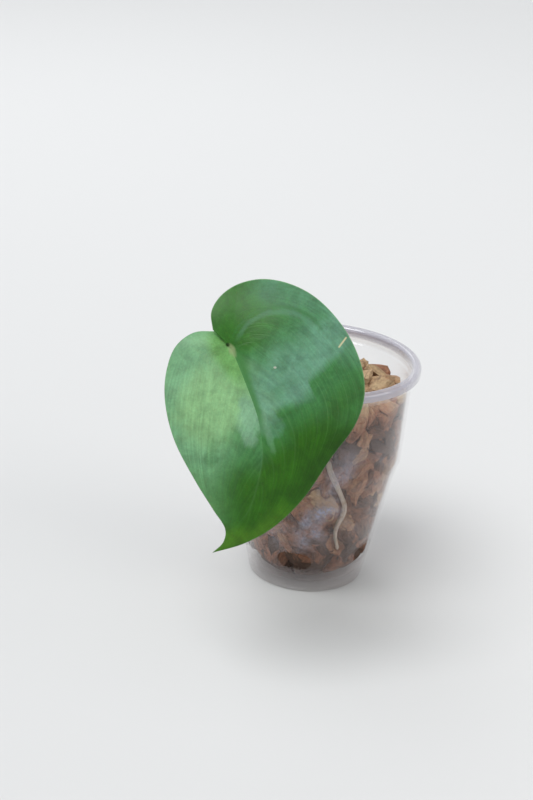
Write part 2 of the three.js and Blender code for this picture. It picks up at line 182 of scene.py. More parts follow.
# Leaf blade, in its own plane: +X to the right, +Y towards the lobes and +Z towards the viewer
LEAF_LEAN = 27
LEAF_ORIGIN = np.array([-32.2, -69.2, 116.2])
LEAF_TIP = [-1.4, -68.4]
MIDRIB = [
    [0.6, -0.9], [5.2, -10.3], [11, -24], [13.1, -35], [12.2, -44.5], [9.4, -54.5], [4.2, -63.6], LEAF_TIP,
]
RIGHT_MARGIN = [
    [-6.1, 5.2], [-7, 11], [-4.6, 16.4], [0.8, 21.1], [8.6, 23.6], [16.8, 23], [25.4, 19.6],
    [32.8, 13.8], [39.8, 5.2], [44.4, -5], [45.4, -14.2], [42.8, -23.6], [35.9, -34.4], [27.1, -49.1],
    [17.6, -59.2], [8.6, -64.8], LEAF_TIP,
]
LEFT_MARGIN = [
    [-5.5, 5], [-12.2, 4], [-17.9, -1], [-20.4, -8.8], [-20.4, -18.4], [-16.6, -31.6], [-8.4, -45.3],
    [-2.1, -54.1], [2.4, -60.5], [2, -64.6], LEAF_TIP,
]
# Each half's side, margin, share of the margin that its fan of first rays takes, and rays in that fan
LEAF_HALVES = ((1, RIGHT_MARGIN, 0.35, 130), (-1, LEFT_MARGIN, 0.24, 60))
ALONG_STEPS = 150
ACROSS_STEPS = 52
FAN_CROWDING = 1.3
TIP_CROWDING = 1.15
MARGIN_CROWDING = 1.1
HALF_WIDTH = 32
HALF_RISE = 3.2
RISE_REACH = 7
MARGIN_ROLL = 3.4
LENGTH_ARCH = 0.0016
ARCH_CENTRE = -24
WAVE_HEIGHT = 0.7
WAVE_COUNT = 3.5
LOBE_OFFSET = 1.1
LOBE_SHARE = 0.12
EDGE_ROUND = 0.3
TIP_ROUND = 0.015
LOBE_ROUND = 0.004
VEIN_COUNT = 11
VEIN_LEAVE = 0.28
VEIN_SWEEP = 0.42
QUILT_HEIGHT = 0.018
QUILT_STARTS = (0.2, 0.5)

# Leaf markings, in the leaf's plane. Silvery tissue, partly the leaf's own silvery patches and partly
# painted sheen, lies on the upper side of a line, given by a place on it and its slope as (cosine, sine).
# Its teeth reach below it. Ranges are distances below the line.
SILVER_SHEEN_LINE = ((26, -12), (0.72, 0.69))
SILVER_SHEEN_RAGGEDNESS = 3.5
SILVER_SHEEN_EDGE = (1.2, -3)
SILVER_SHEEN_RANGE = (-24, -8)
TOOTH_RANGE = (6, -1)
TOOTH_FADE = 0.2
PLAIN_RANGE = (3, 12.5)
LOBE_SILVER_SHEEN = 0.65
BLOOM_SILVER_SHEEN = 0.09
TOOTH_PITCH = 15
TOOTH_START = 19.87
TOOTH_PEAK = 0.84
TOOTH_DEPTH = 8
LAST_TOOTH = 2
# Painted shade of a sunken vein's crease, and a painted highlight beside it, arch over the lobe, on circles
# round this place.
ARCH_PLACE = (16.6, -2.5)
ARCH_SHADE_RADIUS = 16.8
ARCH_HIGHLIGHT_RADIUS = 15
SCRATCH = ((37.1, 3.8), (0.54, 0.84))
SCRATCH_ENDS = (2.5, 1.9)
SCRATCH_SIDES = (0.38, 0.16)
# Painted shadow: a dark dot where the lobes part above the petiole.
SINUS_SHADOW_PLACE = (-0.8, 0.5)
FLECK_PLACE = (15.3, -6.3)
# The middle of the left half: centre, then half its width and height
GLOW_ELLIPSE = (-5, -20.5, 12.5, 15.5)
# A patch is [centre x, centre y, half width, half height, tilt in degrees, strength].
LEAF_PATCHES = {
    # Painted highlights beside the midrib, to its right here and to its left in the next entry.
    "right sheen": [
        [15.4, -30.5, 1.4, 5, 20, 0.35],
        [13, -25, 2.2, 5, 12, 0.3],
        [12.8, -23.6, 1, 3.2, 10, 0.5],
        [13.4, -18.2, 4.5, 4, 0, 0.35],
    ],
    "left sheen": [[7.8, -24.3, 4, 8, 10, 1.1]],
    "apron": [[16.2, -26.6, 3.8, 3.6, 30, 0.55]],
    # Painted shade in the left lobe's corner, beside the overlapping lobe.
    "lobe overlap shade": [[-3.4, 0, 2.6, 4, 0, 0.5]],
    "lower left": [[-3, -35.5, 3, 5, 0, 0.3]],
    "callus": [[0.9, -1.6, 1.2, 2.5, 28, 0.8]],
}
# A window is where a marking comes in, from the first number to the second, and where it goes out again,
# from the third to the fourth. reach is the distance from the midrib and rim the one from the margin.
LEAF_WINDOWS = {
    "silver rim": {"ragged rim": (16, 3), "y": (-9, 4), "x": (0, 14)},
    "bloom": {"y": (-30, -18), "x": (20, 32)},
    "fresh margin": {"rim": (10, 3), "y": (-27, -20)},
    "flank": {"reach": (11, 3), "y": (-31, -16)},
    "collar": {"collar reach": (9, 4), "y": (-17, -7)},
    "strip": {"streaky y": (-32, -52)},
    "lower left": {"streaky x": (-5.5, 9.5), "sloping y": (-26, -31.5)},
    "below": {"y": (-33, -46)},
    # Painted shade on the right lobe, where it tilts away from the light.
    "lobe": {"x": (20, 6), "y": (-6, 2)},
    "beside midrib": {"reach": (9, 3), "y": (-27, -20, -7, -2)},
    # Painted shade along the lower half of the right margin.
    "lower margin shade": {"rim": (10, 3), "y": (-52, -44, -30, -20)},
    "lime margin": {"across": (0.25, 0.8), "ragged share": (0.77, 0.87)},
    "lime tip": {"y": (-57, -63)},
    "veins": {"share": (0.2, 0.5)},
    # Painted shade in the midrib's groove, on its right side.
    "groove": {"groove reach": (1, 0.2), "y": (-34, -18, -4, 1)},
    "thread": {"reach": (0.5, 0.15), "y": (-60, -50, -35, -29)},
    "arch": {"y": (0, 6), "x": (34, 24)},
    # A painted highlight along the margin.
    "margin highlight": {"rim": (0.5, 0.1)},
    "midrib behind": {"reach": (1.9, 0.5)},
}

# Camera: where it stands, how far it looks down and how far it is rolled
CAMERA_PLACE = (-19.0, -650.5, 345.1)
CAMERA_DOWN = 23.05
CAMERA_ROLL = 3.73
LENS = 85
SENSOR = 36

# Lights: the kind, the place, the size, which is degrees for the distant one, and the colour
LIGHT_TARGET = (0, -20, 70)
LIGHTS = {
    "key_light": ("SUN", (-350, -400, 1000), 38, (0.98, 0.99, 1.0)),
    "fill_light": ("AREA", (750, -250, 450), 500, (1.0, 0.98, 0.95)),
    "back_light": ("AREA", (-300, 800, 700), 500, (0.95, 0.97, 1.0)),
}
SKY_COLOR = (0.95, 0.97, 1.0)

# Floor
FLOOR_GAP = 0.02
FLOOR_FLAT = 1500
FLOOR_REACH = 5000
FLOOR_RISE = 2000
FLOOR_STEPS = 96


def smoothstep(value, low, high):
    """0 below low, 1 above high and 3t² - 2t³ between them."""
    share = np.clip((value - low) / (high - low), 0, 1)
    return share * share * (3 - 2 * share)


def quarter_round(value):
    """The height of a quarter circle, sqrt(1 - (1 - t)²): 0 at 0, and 1 at 1 and beyond."""
    return np.sqrt(1 - (1 - np.clip(value, 0, 1)) ** 2)


def eased_shares(steps):
    """Shares from 0 to 1, closer together near both ends."""
    return 0.5 - 0.5 * np.cos(np.linspace(0, np.pi, steps + 1))


def bell(value, centre, width):
    """e^(-((value - centre) / width)²)."""
    return np.exp(-(((value - centre) / width) ** 2))


def full_turn(steps):
    """Angles spread evenly round a circle."""
    return np.linspace(0, 2 * np.pi, steps, endpoint=False)


def unit(vectors):
    """The vectors at length 1."""
    return vectors / np.linalg.norm(vectors, axis=-1, keepdims=True)


def smooth_route(points, shares, span_steps=60):
    """Places at shares of the length of a smooth curve through points. Between two points it is the cubic
    that leaves and meets them at their neighbours' mean slopes, weighted by the roots of the gaps."""
    knots = np.asarray(points, float)
    knots = np.vstack([2 * knots[0] - knots[1], knots, 2 * knots[-1] - knots[-2]])
    gaps = np.sqrt(np.linalg.norm(np.diff(knots, axis=0), axis=1))[:, None]
    before, start, end, after = knots[:-3], knots[1:-2], knots[2:-1], knots[3:]
    gap_before, gap, gap_after = gaps[:-2], gaps[1:-1], gaps[2:]
    step = (end - start) / gap
    leave = gap * ((start - before) / gap_before - (end - before) / (gap_before + gap) + step)
    meet = gap * (step - (after - start) / (gap + gap_after) + (after - end) / gap_after)
    t = np.linspace(0, 1, span_steps, endpoint=False)[None, :, None]
    start, end, leave, meet = (values[:, None, :] for values in (start, end, leave, meet))
    square = 3 * (end - start) - 2 * leave - meet
    cube = 2 * (start - end) + leave + meet
    fine = (start + leave * t + square * t**2 + cube * t**3).reshape(-1, knots.shape[1])
    return spread_along(np.vstack([fine, knots[-2]]), shares)


def spread_along(points, shares):
    """Places at shares of the length of the straight line from point to point."""
    lengths = np.concatenate([[0], np.cumsum(np.linalg.norm(np.diff(points, axis=0), axis=1))])
    places = np.asarray(shares) * lengths[-1]
    return np.stack([np.interp(places, lengths, column) for column in np.transpose(points)], axis=-1)


def net_faces(rows, columns, closed):
    """Four-sided faces between neighbouring rows and columns; a closed net joins its last column to its
    first."""
    numbers = np.arange(rows * columns).reshape(rows, columns)
    if closed:
        numbers = np.hstack([numbers, numbers[:, :1]])
    corners = [numbers[:-1, :-1], numbers[:-1, 1:], numbers[1:, 1:], numbers[1:, :-1]]
    return np.stack(corners, axis=-1).reshape(-1, 4)


def joined(nets, closed):
    """The places and faces of several nets of places as one set."""
    faces = []
    count = 0
    for net in nets:
        faces.append(net_faces(*net.shape[:2], closed) + count)
        count += net.shape[0] * net.shape[1]
    return np.concatenate([net.reshape(-1, 3) for net in nets]), np.concatenate(faces)


def placed(name, data):
    """A new object in the scene."""
    item = bpy.data.objects.new(name, data)
    bpy.context.scene.collection.objects.link(item)
    return item


def mesh_piece(name, nets, maps=None, marks=None, closed=True, merge=0.004, crease=None):
    """A closed mesh from nets of places. maps are UV maps and marks are attributes, each with a row for
    every place. Doubles are merged, faces turned outward, and edges over the crease angle kept crisp."""
    points, faces = joined(nets, closed)
    mesh = bpy.data.meshes.new(name)
    mesh.from_pydata(((points + AXIS) * MM).tolist(), [], faces.tolist())
    corners = np.empty(len(mesh.loops), dtype=np.int32)
    mesh.loops.foreach_get("vertex_index", corners)
    for title, values in (maps or {}).items():
        layer = mesh.uv_layers.new(name=title)
        layer.uv.foreach_set("vector", values[corners].astype(np.float32).ravel())
    for title, values in (marks or {}).items():
        kind, field = ("FLOAT", "value") if values.ndim == 1 else ("FLOAT_VECTOR", "vector")
        mark = mesh.attributes.new(title, kind, "POINT")
        mark.data.foreach_set(field, values.astype(np.float32).ravel())
    work = bmesh.new()
    work.from_mesh(mesh)
    bmesh.ops.remove_doubles(work, verts=work.verts, dist=merge * MM)
    bmesh.ops.recalc_face_normals(work, faces=work.faces)
    work.to_mesh(mesh)
    work.free()
    mesh.shade_smooth()
    if crease is not None:
        mesh.set_sharp_from_angle(angle=math.radians(crease))
    return placed(name, mesh)


def settle(piece, node, material):
    """Gives a piece its finish, and its place in the model."""
    piece.data.materials.clear()
    piece.data.materials.append(material)
    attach(piece, "root")
    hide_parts(node)


def bar(route, steps, sides, upper, radius_at, rounding=1.0):
    """A closed bar along a route: place = centre + r(share, angle) · (cos angle · sideways + sin angle ·
    upward), with rows closer together near the ends, which are rounded by quarter circles."""
    shares = eased_shares(steps)
    centres = smooth_route(route, shares)
    length = np.linalg.norm(np.diff(centres, axis=0), axis=1).sum()
    ahead, behind = (smooth_route(route, np.clip(shares + shift, 0, 1)) for shift in (0.001, -0.001))
    along = unit(ahead - behind)
    upward = unit(upper - (along @ upper)[:, None] * along)
    sideways = np.cross(upward, along)
    angles = full_turn(sides)
    ends = quarter_round(np.minimum(shares, 1 - shares) * length / rounding)
    radius = radius_at(shares[:, None], angles[None, :]) * ends[:, None]
    across, above = np.cos(angles)[None, :, None], np.sin(angles)[None, :, None]
    return centres[:, None] + radius[..., None] * (across * sideways[:, None] + above * upward[:, None])


def bar_piece(name, node, nets, skin, dryness_at):
    """A piece of bars alike. It is marked with how far along its bar a place lies, with its dryness and with
    its section, a place on a circle that is told apart from the other bars' by its third number."""
    rows, sides = nets[0].shape[:2]
    run = np.tile(np.repeat(eased_shares(rows - 1), sides), len(nets))
    turn = np.tile(full_turn(sides), rows * len(nets))
    number = np.repeat(np.arange(len(nets)), rows * sides)
    section = np.stack([np.cos(turn), np.sin(turn), number], -1)
    marks = {"run": run, "section": section, "dryness": dryness_at(run, turn)}
    settle(mesh_piece(name, nets, marks=marks), node, skin)


def turned(outline, sides):
    """An outline of [radius, height] turned round the axis."""
    angles = full_turn(sides)
    radius, height = np.asarray(outline, float).T
    across = radius[:, None] * np.cos(angles)
    deep = radius[:, None] * np.sin(angles)
    return np.stack([across, deep, np.broadcast_to(height[:, None], across.shape)], axis=-1)


def rounded(outline, radius, steps=5):
    """The outline with each inner corner c replaced by the curve (1-t)²·a + 2t(1-t)·c + t²·b, where a and b
    lie on its two sides, a radius away or a little under half a side."""
    points = np.asarray(outline, float)
    corner = points[1:-1]
    sides = [points[:-2] - corner, points[2:] - corner]
    reach = [side * np.minimum(radius / np.linalg.norm(side, axis=1), 0.45)[:, None] for side in sides]
    first, second = (corner + side for side in reach)
    t = np.linspace(0, 1, steps)[None, :, None]
    curve = (1 - t) ** 2 * first[:, None] + 2 * t * (1 - t) * corner[:, None] + t**2 * second[:, None]
    return np.vstack([points[:1], curve.reshape(-1, 2), points[-1:]])


def outer_radius(height):
    """The cup's outer radius: tapered foot, shoulder, steeper band, collar."""
    heights = [0, SHOULDER_BOTTOM, SHOULDER_TOP, CUP_HEIGHT - COLLAR_DEPTH, CUP_HEIGHT]
    mouth = MOUTH_RADIUS + WALL
    return np.interp(height, heights, [FOOT_RADIUS, TAPER_RADIUS, BAND_RADIUS, mouth - COLLAR_STEP, mouth])


def inner_radius(height):
    """The cup's inner radius."""
    return outer_radius(height) - WALL


def polar(radius, angle, height):
    """Places at a radius, an angle in degrees and a height."""
    turn = np.radians(angle)
    return np.stack(np.broadcast_arrays(radius * np.cos(turn), radius * np.sin(turn), height), axis=-1)


def cup_outline():
    """The cup's section from the middle of its underside, over the rim, to the middle of its floor."""
    floor_top = FLOOR_UNDERSIDE + FLOOR_THICKNESS
    collar = CUP_HEIGHT - COLLAR_DEPTH
    foot_inside = FOOT_RADIUS - FOOT_WIDTH
    rim_inside = RIM_RADIUS - RIM_THICKNESS
    return [
        [0, FLOOR_UNDERSIDE],
        [foot_inside, FLOOR_UNDERSIDE],
        [foot_inside, 0],
        [FOOT_RADIUS - FOOT_CHAMFER, 0],
        *([outer_radius(level), level] for level in (FOOT_CHAMFER, SHOULDER_BOTTOM, SHOULDER_TOP, collar)),
        [outer_radius(CUP_HEIGHT), collar + COLLAR_STEP],
        [outer_radius(CUP_HEIGHT), CUP_HEIGHT - 2 * RIM_THICKNESS],
        [rim_inside - COLLAR_STEP, CUP_HEIGHT - 1.5 * RIM_THICKNESS],
        [rim_inside, CUP_HEIGHT - RIM_DROP],
        [RIM_RADIUS, CUP_HEIGHT - RIM_DROP],
        [RIM_RADIUS, CUP_HEIGHT - RIM_THICKNESS],
        [RIM_RADIUS - RIM_THICKNESS, CUP_HEIGHT],
        [MOUTH_RADIUS + RIM_THICKNESS, CUP_HEIGHT],
        [MOUTH_RADIUS, CUP_HEIGHT - RIM_THICKNESS],
        [MOUTH_RADIUS, collar + COLLAR_STEP],
        *([inner_radius(level), level] for level in (collar, SHOULDER_TOP, SHOULDER_BOTTOM, floor_top)),
        [0, floor_top],
    ]


def slot_cutter(angle, sides=48):
    """A bar with round ends across the wall: its outline is a circle pulled apart by the slot's straight
    stretch."""
    turn = full_turn(sides)
    round_end = SLOT_HEIGHT / 2
    along = round_end * np.cos(turn) + np.sign(np.cos(turn)) * (SLOT_WIDTH / 2 - round_end)
    height = round_end * np.sin(turn)
    levels = np.array([[0, -0.5], [1, -0.5], [1, 0.5], [0, 0.5]])
    outward = polar(1, angle, 0)
    sideways = polar(1, angle + 90, 0)
    up = np.array([0, 0, 1])
    size, depth = levels[:, 0, None, None], levels[:, 1, None, None] * SLOT_DEPTH
    net = size * (along[None, :, None] * sideways + height[None, :, None] * up) + depth * outward
    return net + polar(outer_radius(SLOT_LEVEL), angle, SLOT_LEVEL)


def drain_cutter(angle):
    """A round bar through the floor."""
    low, high = FLOOR_UNDERSIDE - FLOOR_THICKNESS, FLOOR_UNDERSIDE + 2 * FLOOR_THICKNESS
    net = turned([[0, low], [DRAIN_RADIUS, low], [DRAIN_RADIUS, high], [0, high]], 32)
    return net + polar(DRAIN_CIRCLE, angle, 0)


def cut(piece, nets):
    """Cuts closed nets out of a piece."""
    cutter = mesh_piece("cutter", nets)
    modifier = piece.modifiers.new("holes", "BOOLEAN")
    modifier.object = cutter
    modifier.operation = "DIFFERENCE"
    modifier.solver = "EXACT"
    graph = bpy.context.evaluated_depsgraph_get()
    holed = bpy.data.meshes.new_from_object(piece.evaluated_get(graph))
    piece.modifiers.clear()
    piece.data = holed
    bpy.data.objects.remove(cutter)


def chip_shapes(random, count, sizes):
    """Chunky, uneven blocks. A direction d is divided by (|dx|^n + |dy|^n + |dz|^n)^(1/n), which for a large
    n gives a block with cut corners. The block is then pinched, skewed and dented by sines whose phases
    differ from chip to chip."""
    around = full_turn(CHIP_SIDES) + np.pi / CHIP_SIDES
    level = np.linspace(-np.pi / 2, np.pi / 2, CHIP_LEVELS)[:, None]
    ring = np.cos(level)
    parts = np.broadcast_arrays(ring * np.cos(around), ring * np.sin(around), np.sin(level))
    heading = np.stack(parts, axis=-1)[None]
    power = random.uniform(*CHIP_SQUARENESS, (count, 1, 1, 1))
    block = heading / (np.abs(heading) ** power).sum(-1, keepdims=True) ** (1 / power)
    pinch, skew, slope = random.uniform(-CHIP_SKEW, CHIP_SKEW, (3, count, 1, 1))
    x, y, z = np.moveaxis(block, -1, 0)
    form = [x * (1 + pinch * y), y * (1 + skew * x + slope * z), z * (1 + pinch * x + slope * y)]
    form = np.stack(form, axis=-1)
    dents = np.zeros_like(form)
    for frequency, depth in CHIP_DENTS:
        phase = random.uniform(0, 2 * np.pi, (count, 1, 1, 3))
        turn = random.uniform(-1, 1, (count, 1, 1, 3)) * frequency
        dents += depth * np.sin((form * turn).sum(-1, keepdims=True) * 2 + phase)
    return (form + dents) * sizes[:, None, None, :] / 2


def facing(random, outward, lean):
    """Turning matrices whose third axis looks outward with some lean, and whose others are turned freely."""
    count = len(outward)
    third = unit(outward + lean * random.normal(0, 0.5, (count, 3)))
    first = unit(np.cross(third, random.normal(0, 1, (count, 3))))
    return np.stack([first, np.cross(third, first), third], axis=-2)


def pressed(places, gap=MIX_GAP):
    """Places pushed back inside the cup's wall, and above its floor."""
    height = np.maximum(places[..., 2], FLOOR_UNDERSIDE + FLOOR_THICKNESS + gap)
    share = (height - FLOOR_UNDERSIDE) / (MIX_FOOT_LEVEL - FLOOR_UNDERSIDE)
    inset = MIX_FOOT_INSET * np.clip(1 - share, 0, 1)
    limit = inner_radius(height) - gap - inset
    radius = np.linalg.norm(places[..., :2], axis=-1)
    pull = np.minimum(1, limit / np.maximum(radius, 1e-6))
    return np.concatenate([places[..., :2] * pull[..., None], height[..., None]], axis=-1)


def stem_clear(places, steps=60):
    """Places pushed out of the stem's way."""
    route = smooth_route(STEM_ROUTE, np.linspace(0, 1, steps))
    centre = np.stack([np.interp(places[..., 2], route[:, 2], route[:, axis]) for axis in (0, 1)], axis=-1)
    away = places[..., :2] - centre
    distance = np.linalg.norm(away, axis=-1, keepdims=True)
    push = np.maximum(STEM_CLEARANCE / np.maximum(distance, 0.1), 1)
    push = np.where(places[..., 2:] > STEM_ROUTE[0][2], push, 1)
    return np.concatenate([centre + away * push, places[..., 2:]], axis=-1)


def root_route(places, radius):
    """Where a root runs: from the buried node, over a bend, to the wall and down along it."""
    angle, height = np.array(places, float).T
    start = smooth_route(STEM_ROUTE, [STEM_NODES[0]])[0]
    bend = polar(ROOT_BEND_RADIUS, angle[0], height[0] + ROOT_BEND_RISE)
    return [start, bend, *polar(inner_radius(height) - ROOT_WALL_GAP - radius, angle, height)]


def roots_clear(places, radius, steps=90):
    """Places pressed inward where a root runs along the wall, in a groove as deep as the root and its gap in
    the middle and shallower to both sides: depth = (root's diameter + gap)·(1 - (aside / reach)²)."""
    flat = places.reshape(-1, 3)
    for root in ROOTS:
        route = smooth_route(root_route(root, radius), np.linspace(0, 1, steps))
        far = np.linalg.norm(route[:, :2], axis=1)
        turn, line = np.arctan2(flat[:, 1], flat[:, 0]), np.arctan2(route[:, 1], route[:, 0])
        sideways = np.angle(np.exp(1j * (turn[:, None] - line))) * far
        aside = np.hypot(sideways, flat[:, 2:] - route[:, 2])
        nearest = aside.argmin(axis=1)
        share = np.clip(aside.min(axis=1) / ROOT_GROOVE_REACH, 0, 1)
        bottom = far[nearest] + radius - (2 * radius + MIX_GAP) * (1 - share**2)
        distance = np.linalg.norm(flat[:, :2], axis=1)
        near = (share < 1) & (distance < far[nearest] + 3 * radius)
        pull = np.where(near, np.minimum(bottom / distance, 1), 1)
        flat = np.column_stack([flat[:, :2] * pull[:, None], flat[:, 2]])
    return flat.reshape(places.shape)


def scaled(color, factor):
    """A colour made darker or lighter."""
    return tuple(factor * part for part in color)


def blended(first, second, share=0.5):
    """A colour between two others."""
    return tuple((1 - share) * one + share * other for one, other in zip(first, second))


def arithmetic(operation, reflected=False):
    """A method that adds a Math node. A reflected one has its own value second."""

    def method(self, other):
        values = (other, self) if reflected else (self, other)
        return self.finish.math(operation, *values)

    return method


class Value:
    """A value in a material's nodes. Arithmetic on it adds Math nodes."""

    __add__, __radd__ = arithmetic("ADD"), arithmetic("ADD", True)
    __sub__, __rsub__ = arithmetic("SUBTRACT"), arithmetic("SUBTRACT", True)
    __mul__, __rmul__ = arithmetic("MULTIPLY"), arithmetic("MULTIPLY", True)
    __truediv__, __rtruediv__ = arithmetic("DIVIDE"), arithmetic("DIVIDE", True)
    __pow__, __rpow__ = arithmetic("POWER"), arithmetic("POWER", True)

    def __init__(self, finish, socket):
        self.finish = finish
        self.socket = socket

    def __abs__(self):
        return self.finish.math("ABSOLUTE", self)

    def eased(self, low, high, to_low=0, to_high=1):
        """The value eased from to_low to to_high as it goes from low to high."""
        inputs = {"Value": self, "From Min": low, "From Max": high, "To Min": to_low, "To Max": to_high}
        return self.finish.node("ShaderNodeMapRange", {"interpolation_type": "SMOOTHSTEP"}, inputs)

    def inside(self, start, full, *after):
        """0 up to start, 1 from full on and, where two more numbers follow, 0 again after the last one."""
        window = self.eased(start, full)
        return window * self.eased(*after[::-1]) if after else window

    def part(self, name):
        """Another output of the node that this value comes from."""
        return Value(self.finish, self.socket.node.outputs[name])


class Finish:
    """A material of nodes, built round one Principled shader."""

    def __init__(self, name, **constants):
        self.material = bpy.data.materials.new(name)
        self.material.use_nodes = True
        self.tree = self.material.node_tree
        self.shader = self.tree.nodes["Principled BSDF"]
        self.set(**constants)

    def set(self, **values):
        """Sets or links the shader's sockets; an underscore stands for a space in their names."""
        for title, value in values.items():
            self.feed(self.shader.inputs[title.replace("_", " ")], value)

    def feed(self, socket, value):
        if isinstance(value, Value):
            self.tree.links.new(value.socket, socket)
        elif socket.type == "RGBA" and len(value) == 3:
            socket.default_value = (*value, 1)
        else:
            socket.default_value = value

    def node(self, kind, settings=None, inputs=None, output=0):
        """Adds a node: its settings first, where stops are a ramp's, and then its sockets."""
        node = self.tree.nodes.new(kind)
        for title, value in (settings or {}).items():
            if title == "stops":
                self.set_stops(node.color_ramp, value)
            else:
                setattr(node, title, value)
        for title, value in (inputs or {}).items():
            self.feed(node.inputs[title], value)
        return Value(self, node.outputs[output])

    def set_stops(self, ramp, stops):
        while len(ramp.elements) < len(stops):
            ramp.elements.new(0.5)
        for element, (place, color) in zip(ramp.elements, stops):
            element.position = place
            element.color = (*color, 1)

    def math(self, operation, *values):
        return self.node("ShaderNodeMath", {"operation": operation}, dict(enumerate(values)))

    def largest(self, *values):
        return reduce(lambda first, second: self.math("MAXIMUM", first, second), values)

    def mix(self, share, first, second, blend="MIX"):
        """Two colours mixed by a share."""
        settings = {"data_type": "RGBA", "blend_type": blend, "clamp_factor": True}
        return self.node("ShaderNodeMix", settings, {0: share, 6: first, 7: second}, 2)

    def painted(self, color, layers):
        """A colour with others laid over it in turn, each given as where, how strongly and which colour."""
        for where, strength, paint in layers:
            color = self.mix(where * strength, color, paint)
        return color

    def noise(self, place, scale, detail=4, roughness=0.55, warp=0):
        inputs = dict(Vector=place, Scale=scale, Detail=detail, Roughness=roughness, Distortion=warp)
        return self.node("ShaderNodeTexNoise", {"normalize": True}, inputs)

    def place(self):
        """Where the surface is on the model."""
        return self.node("ShaderNodeTexCoord", output="Object")

    def height(self, place):
        """Height above the ground in mm."""
        return self.parts(place)[2] / MM

    def parts(self, vector):
        """The three numbers of a vector."""
        x = self.node("ShaderNodeSeparateXYZ", inputs={"Vector": vector})
        return x, x.part("Y"), x.part("Z")

    def vector(self, x=0, y=0, z=0):
        return self.node("ShaderNodeCombineXYZ", inputs={"X": x, "Y": y, "Z": z})

    def map_place(self, name):
        """Where the surface lies on a UV map."""
        return self.parts(self.node("ShaderNodeUVMap", {"uv_map": name}))[:2]

    def mark(self, name, output="Fac"):
        """An attribute of the mesh."""
        return self.node("ShaderNodeAttribute", {"attribute_name": name}, output=output)

    def bump(self, height, depth, strength=1.0, below=None):
        """A bump of the given depth in mm, on top of another one."""
        inputs = {"Height": height, "Distance": depth * MM, "Strength": strength}
        if below is not None:
            inputs["Normal"] = below
        return self.node("ShaderNodeBump", inputs=inputs)

    def gloss(self, straight, roughness, normal):
        """Lays a clear reflecting coat over the shader: a share seen straight on, and towards 1 edge on, as
        straight + (1 - straight)·(1 - cos)^5."""
        grazing = self.node("ShaderNodeLayerWeight", inputs={"Blend": 0.5}, output="Facing") ** 5
        fresnel = straight + grazing * (1 - straight)
        inputs = {"Base Color": (1, 1, 1), "Metallic": 1, "Roughness": roughness, "Normal": normal}
        shine = self.node("ShaderNodeBsdfPrincipled", inputs=inputs)
        base = Value(self, self.shader.outputs["BSDF"])
        both = self.node("ShaderNodeMixShader", inputs={0: fresnel, 1: base, 2: shine})
        self.feed(self.tree.nodes["Material Output"].inputs["Surface"], both)


def color_property(name, description, value):
    return FloatVectorProperty(
        name=name, description=description, subtype="COLOR", size=3, min=0, max=1, default=value
    )


def length_property(name, description, value):
    """A length whose default is given in millimetres."""
    settings = {"unit": "LENGTH", "subtype": "DISTANCE", "precision": 5, "default": value * MM}
    return FloatProperty(name=name, description=description, **settings)


def share_property(name, description, value):
    return FloatProperty(name=name, description=description, subtype="FACTOR", min=0, max=1, default=value)


class ScindapsusCupSettings(bpy.types.PropertyGroup):
    tint: color_property("Tint", "Colour of the clear plastic", (0.56, 0.54, 0.63))
    haze: color_property("Haze", "Colour of the thin haze on the wall", (0.56, 0.49, 0.49))
    fog: color_property("Fog", "Colour of the moisture on the wall", (0.47, 0.49, 0.64))
    veil: share_property("Veil", "How much the thin wall hides", 0.02)
    mist: share_property("Mist", "How much it hides where moisture fogs it", 0.4)
    edge: length_property("Edge rounding", "Rounding of the moulded edges", 0.45)
    sides: IntProperty(name="Sides", description="Faces round the cup", default=144, min=24)


class ScindapsusMixSettings(bpy.types.PropertyGroup):
    side_chips: IntProperty(name="Side chips", description="Bark chips along the wall", default=340, min=1)
    top_chips: IntProperty(name="Top chips", description="Bark chips on the surface", default=70, min=1)
    chip_length: length_property("Chip length", "Longest side of a large chip", 15)
    chip_breadth: length_property("Chip breadth", "Middle side of a large chip", 9)
    chip_depth: length_property("Chip depth", "Shortest side of a large chip", 6)
    pale: color_property("Pale bark", "Freshly broken faces", (0.54, 0.39, 0.22))
    warm: color_property("Warm bark", "Reddish inner bark", (0.33, 0.14, 0.075))
    dark: color_property("Dark bark", "Weathered outer bark", (0.075, 0.042, 0.028))


class ScindapsusStemSettings(bpy.types.PropertyGroup):
    stem_radius: length_property("Stem radius", "Radius between two nodes", 3)
    node_swell: length_property("Node swell", "How far a node stands out", 0.8)
    root_radius: length_property("Root radius", "Radius near the stem", 1.05)
    stem_color: color_property("Stem", "Colour of the young stem", (0.17, 0.25, 0.06))
    stem_dry: color_property("Cut end", "Dry end and corky spots of the stem", (0.22, 0.14, 0.07))
    root_color: color_property("Roots", "Colour of the roots", (0.5, 0.42, 0.34))
    root_dry: color_property("Dry roots", "Older stretch and spots of the roots", (0.27, 0.17, 0.1))


class ScindapsusPetioleSettings(bpy.types.PropertyGroup):
    color: color_property("Petiole", "Colour of the petiole", (0.16, 0.36, 0.07))
    dry: color_property("Dry edges", "Papery edges of the sheath", (0.42, 0.34, 0.16))
    radius: length_property("Radius", "Radius of the slim stretch", 1.6)
    base: length_property("Base", "Radius where it clasps the stem", 2.5)
    geniculum: length_property("Geniculum", "Radius of the joint below the blade", 2.0)
    wing: length_property("Sheath wing", "How far the sheath's edges stand up", 1.5)
    channel: length_property("Sheath channel", "Depth of the channel between them", 0.5)


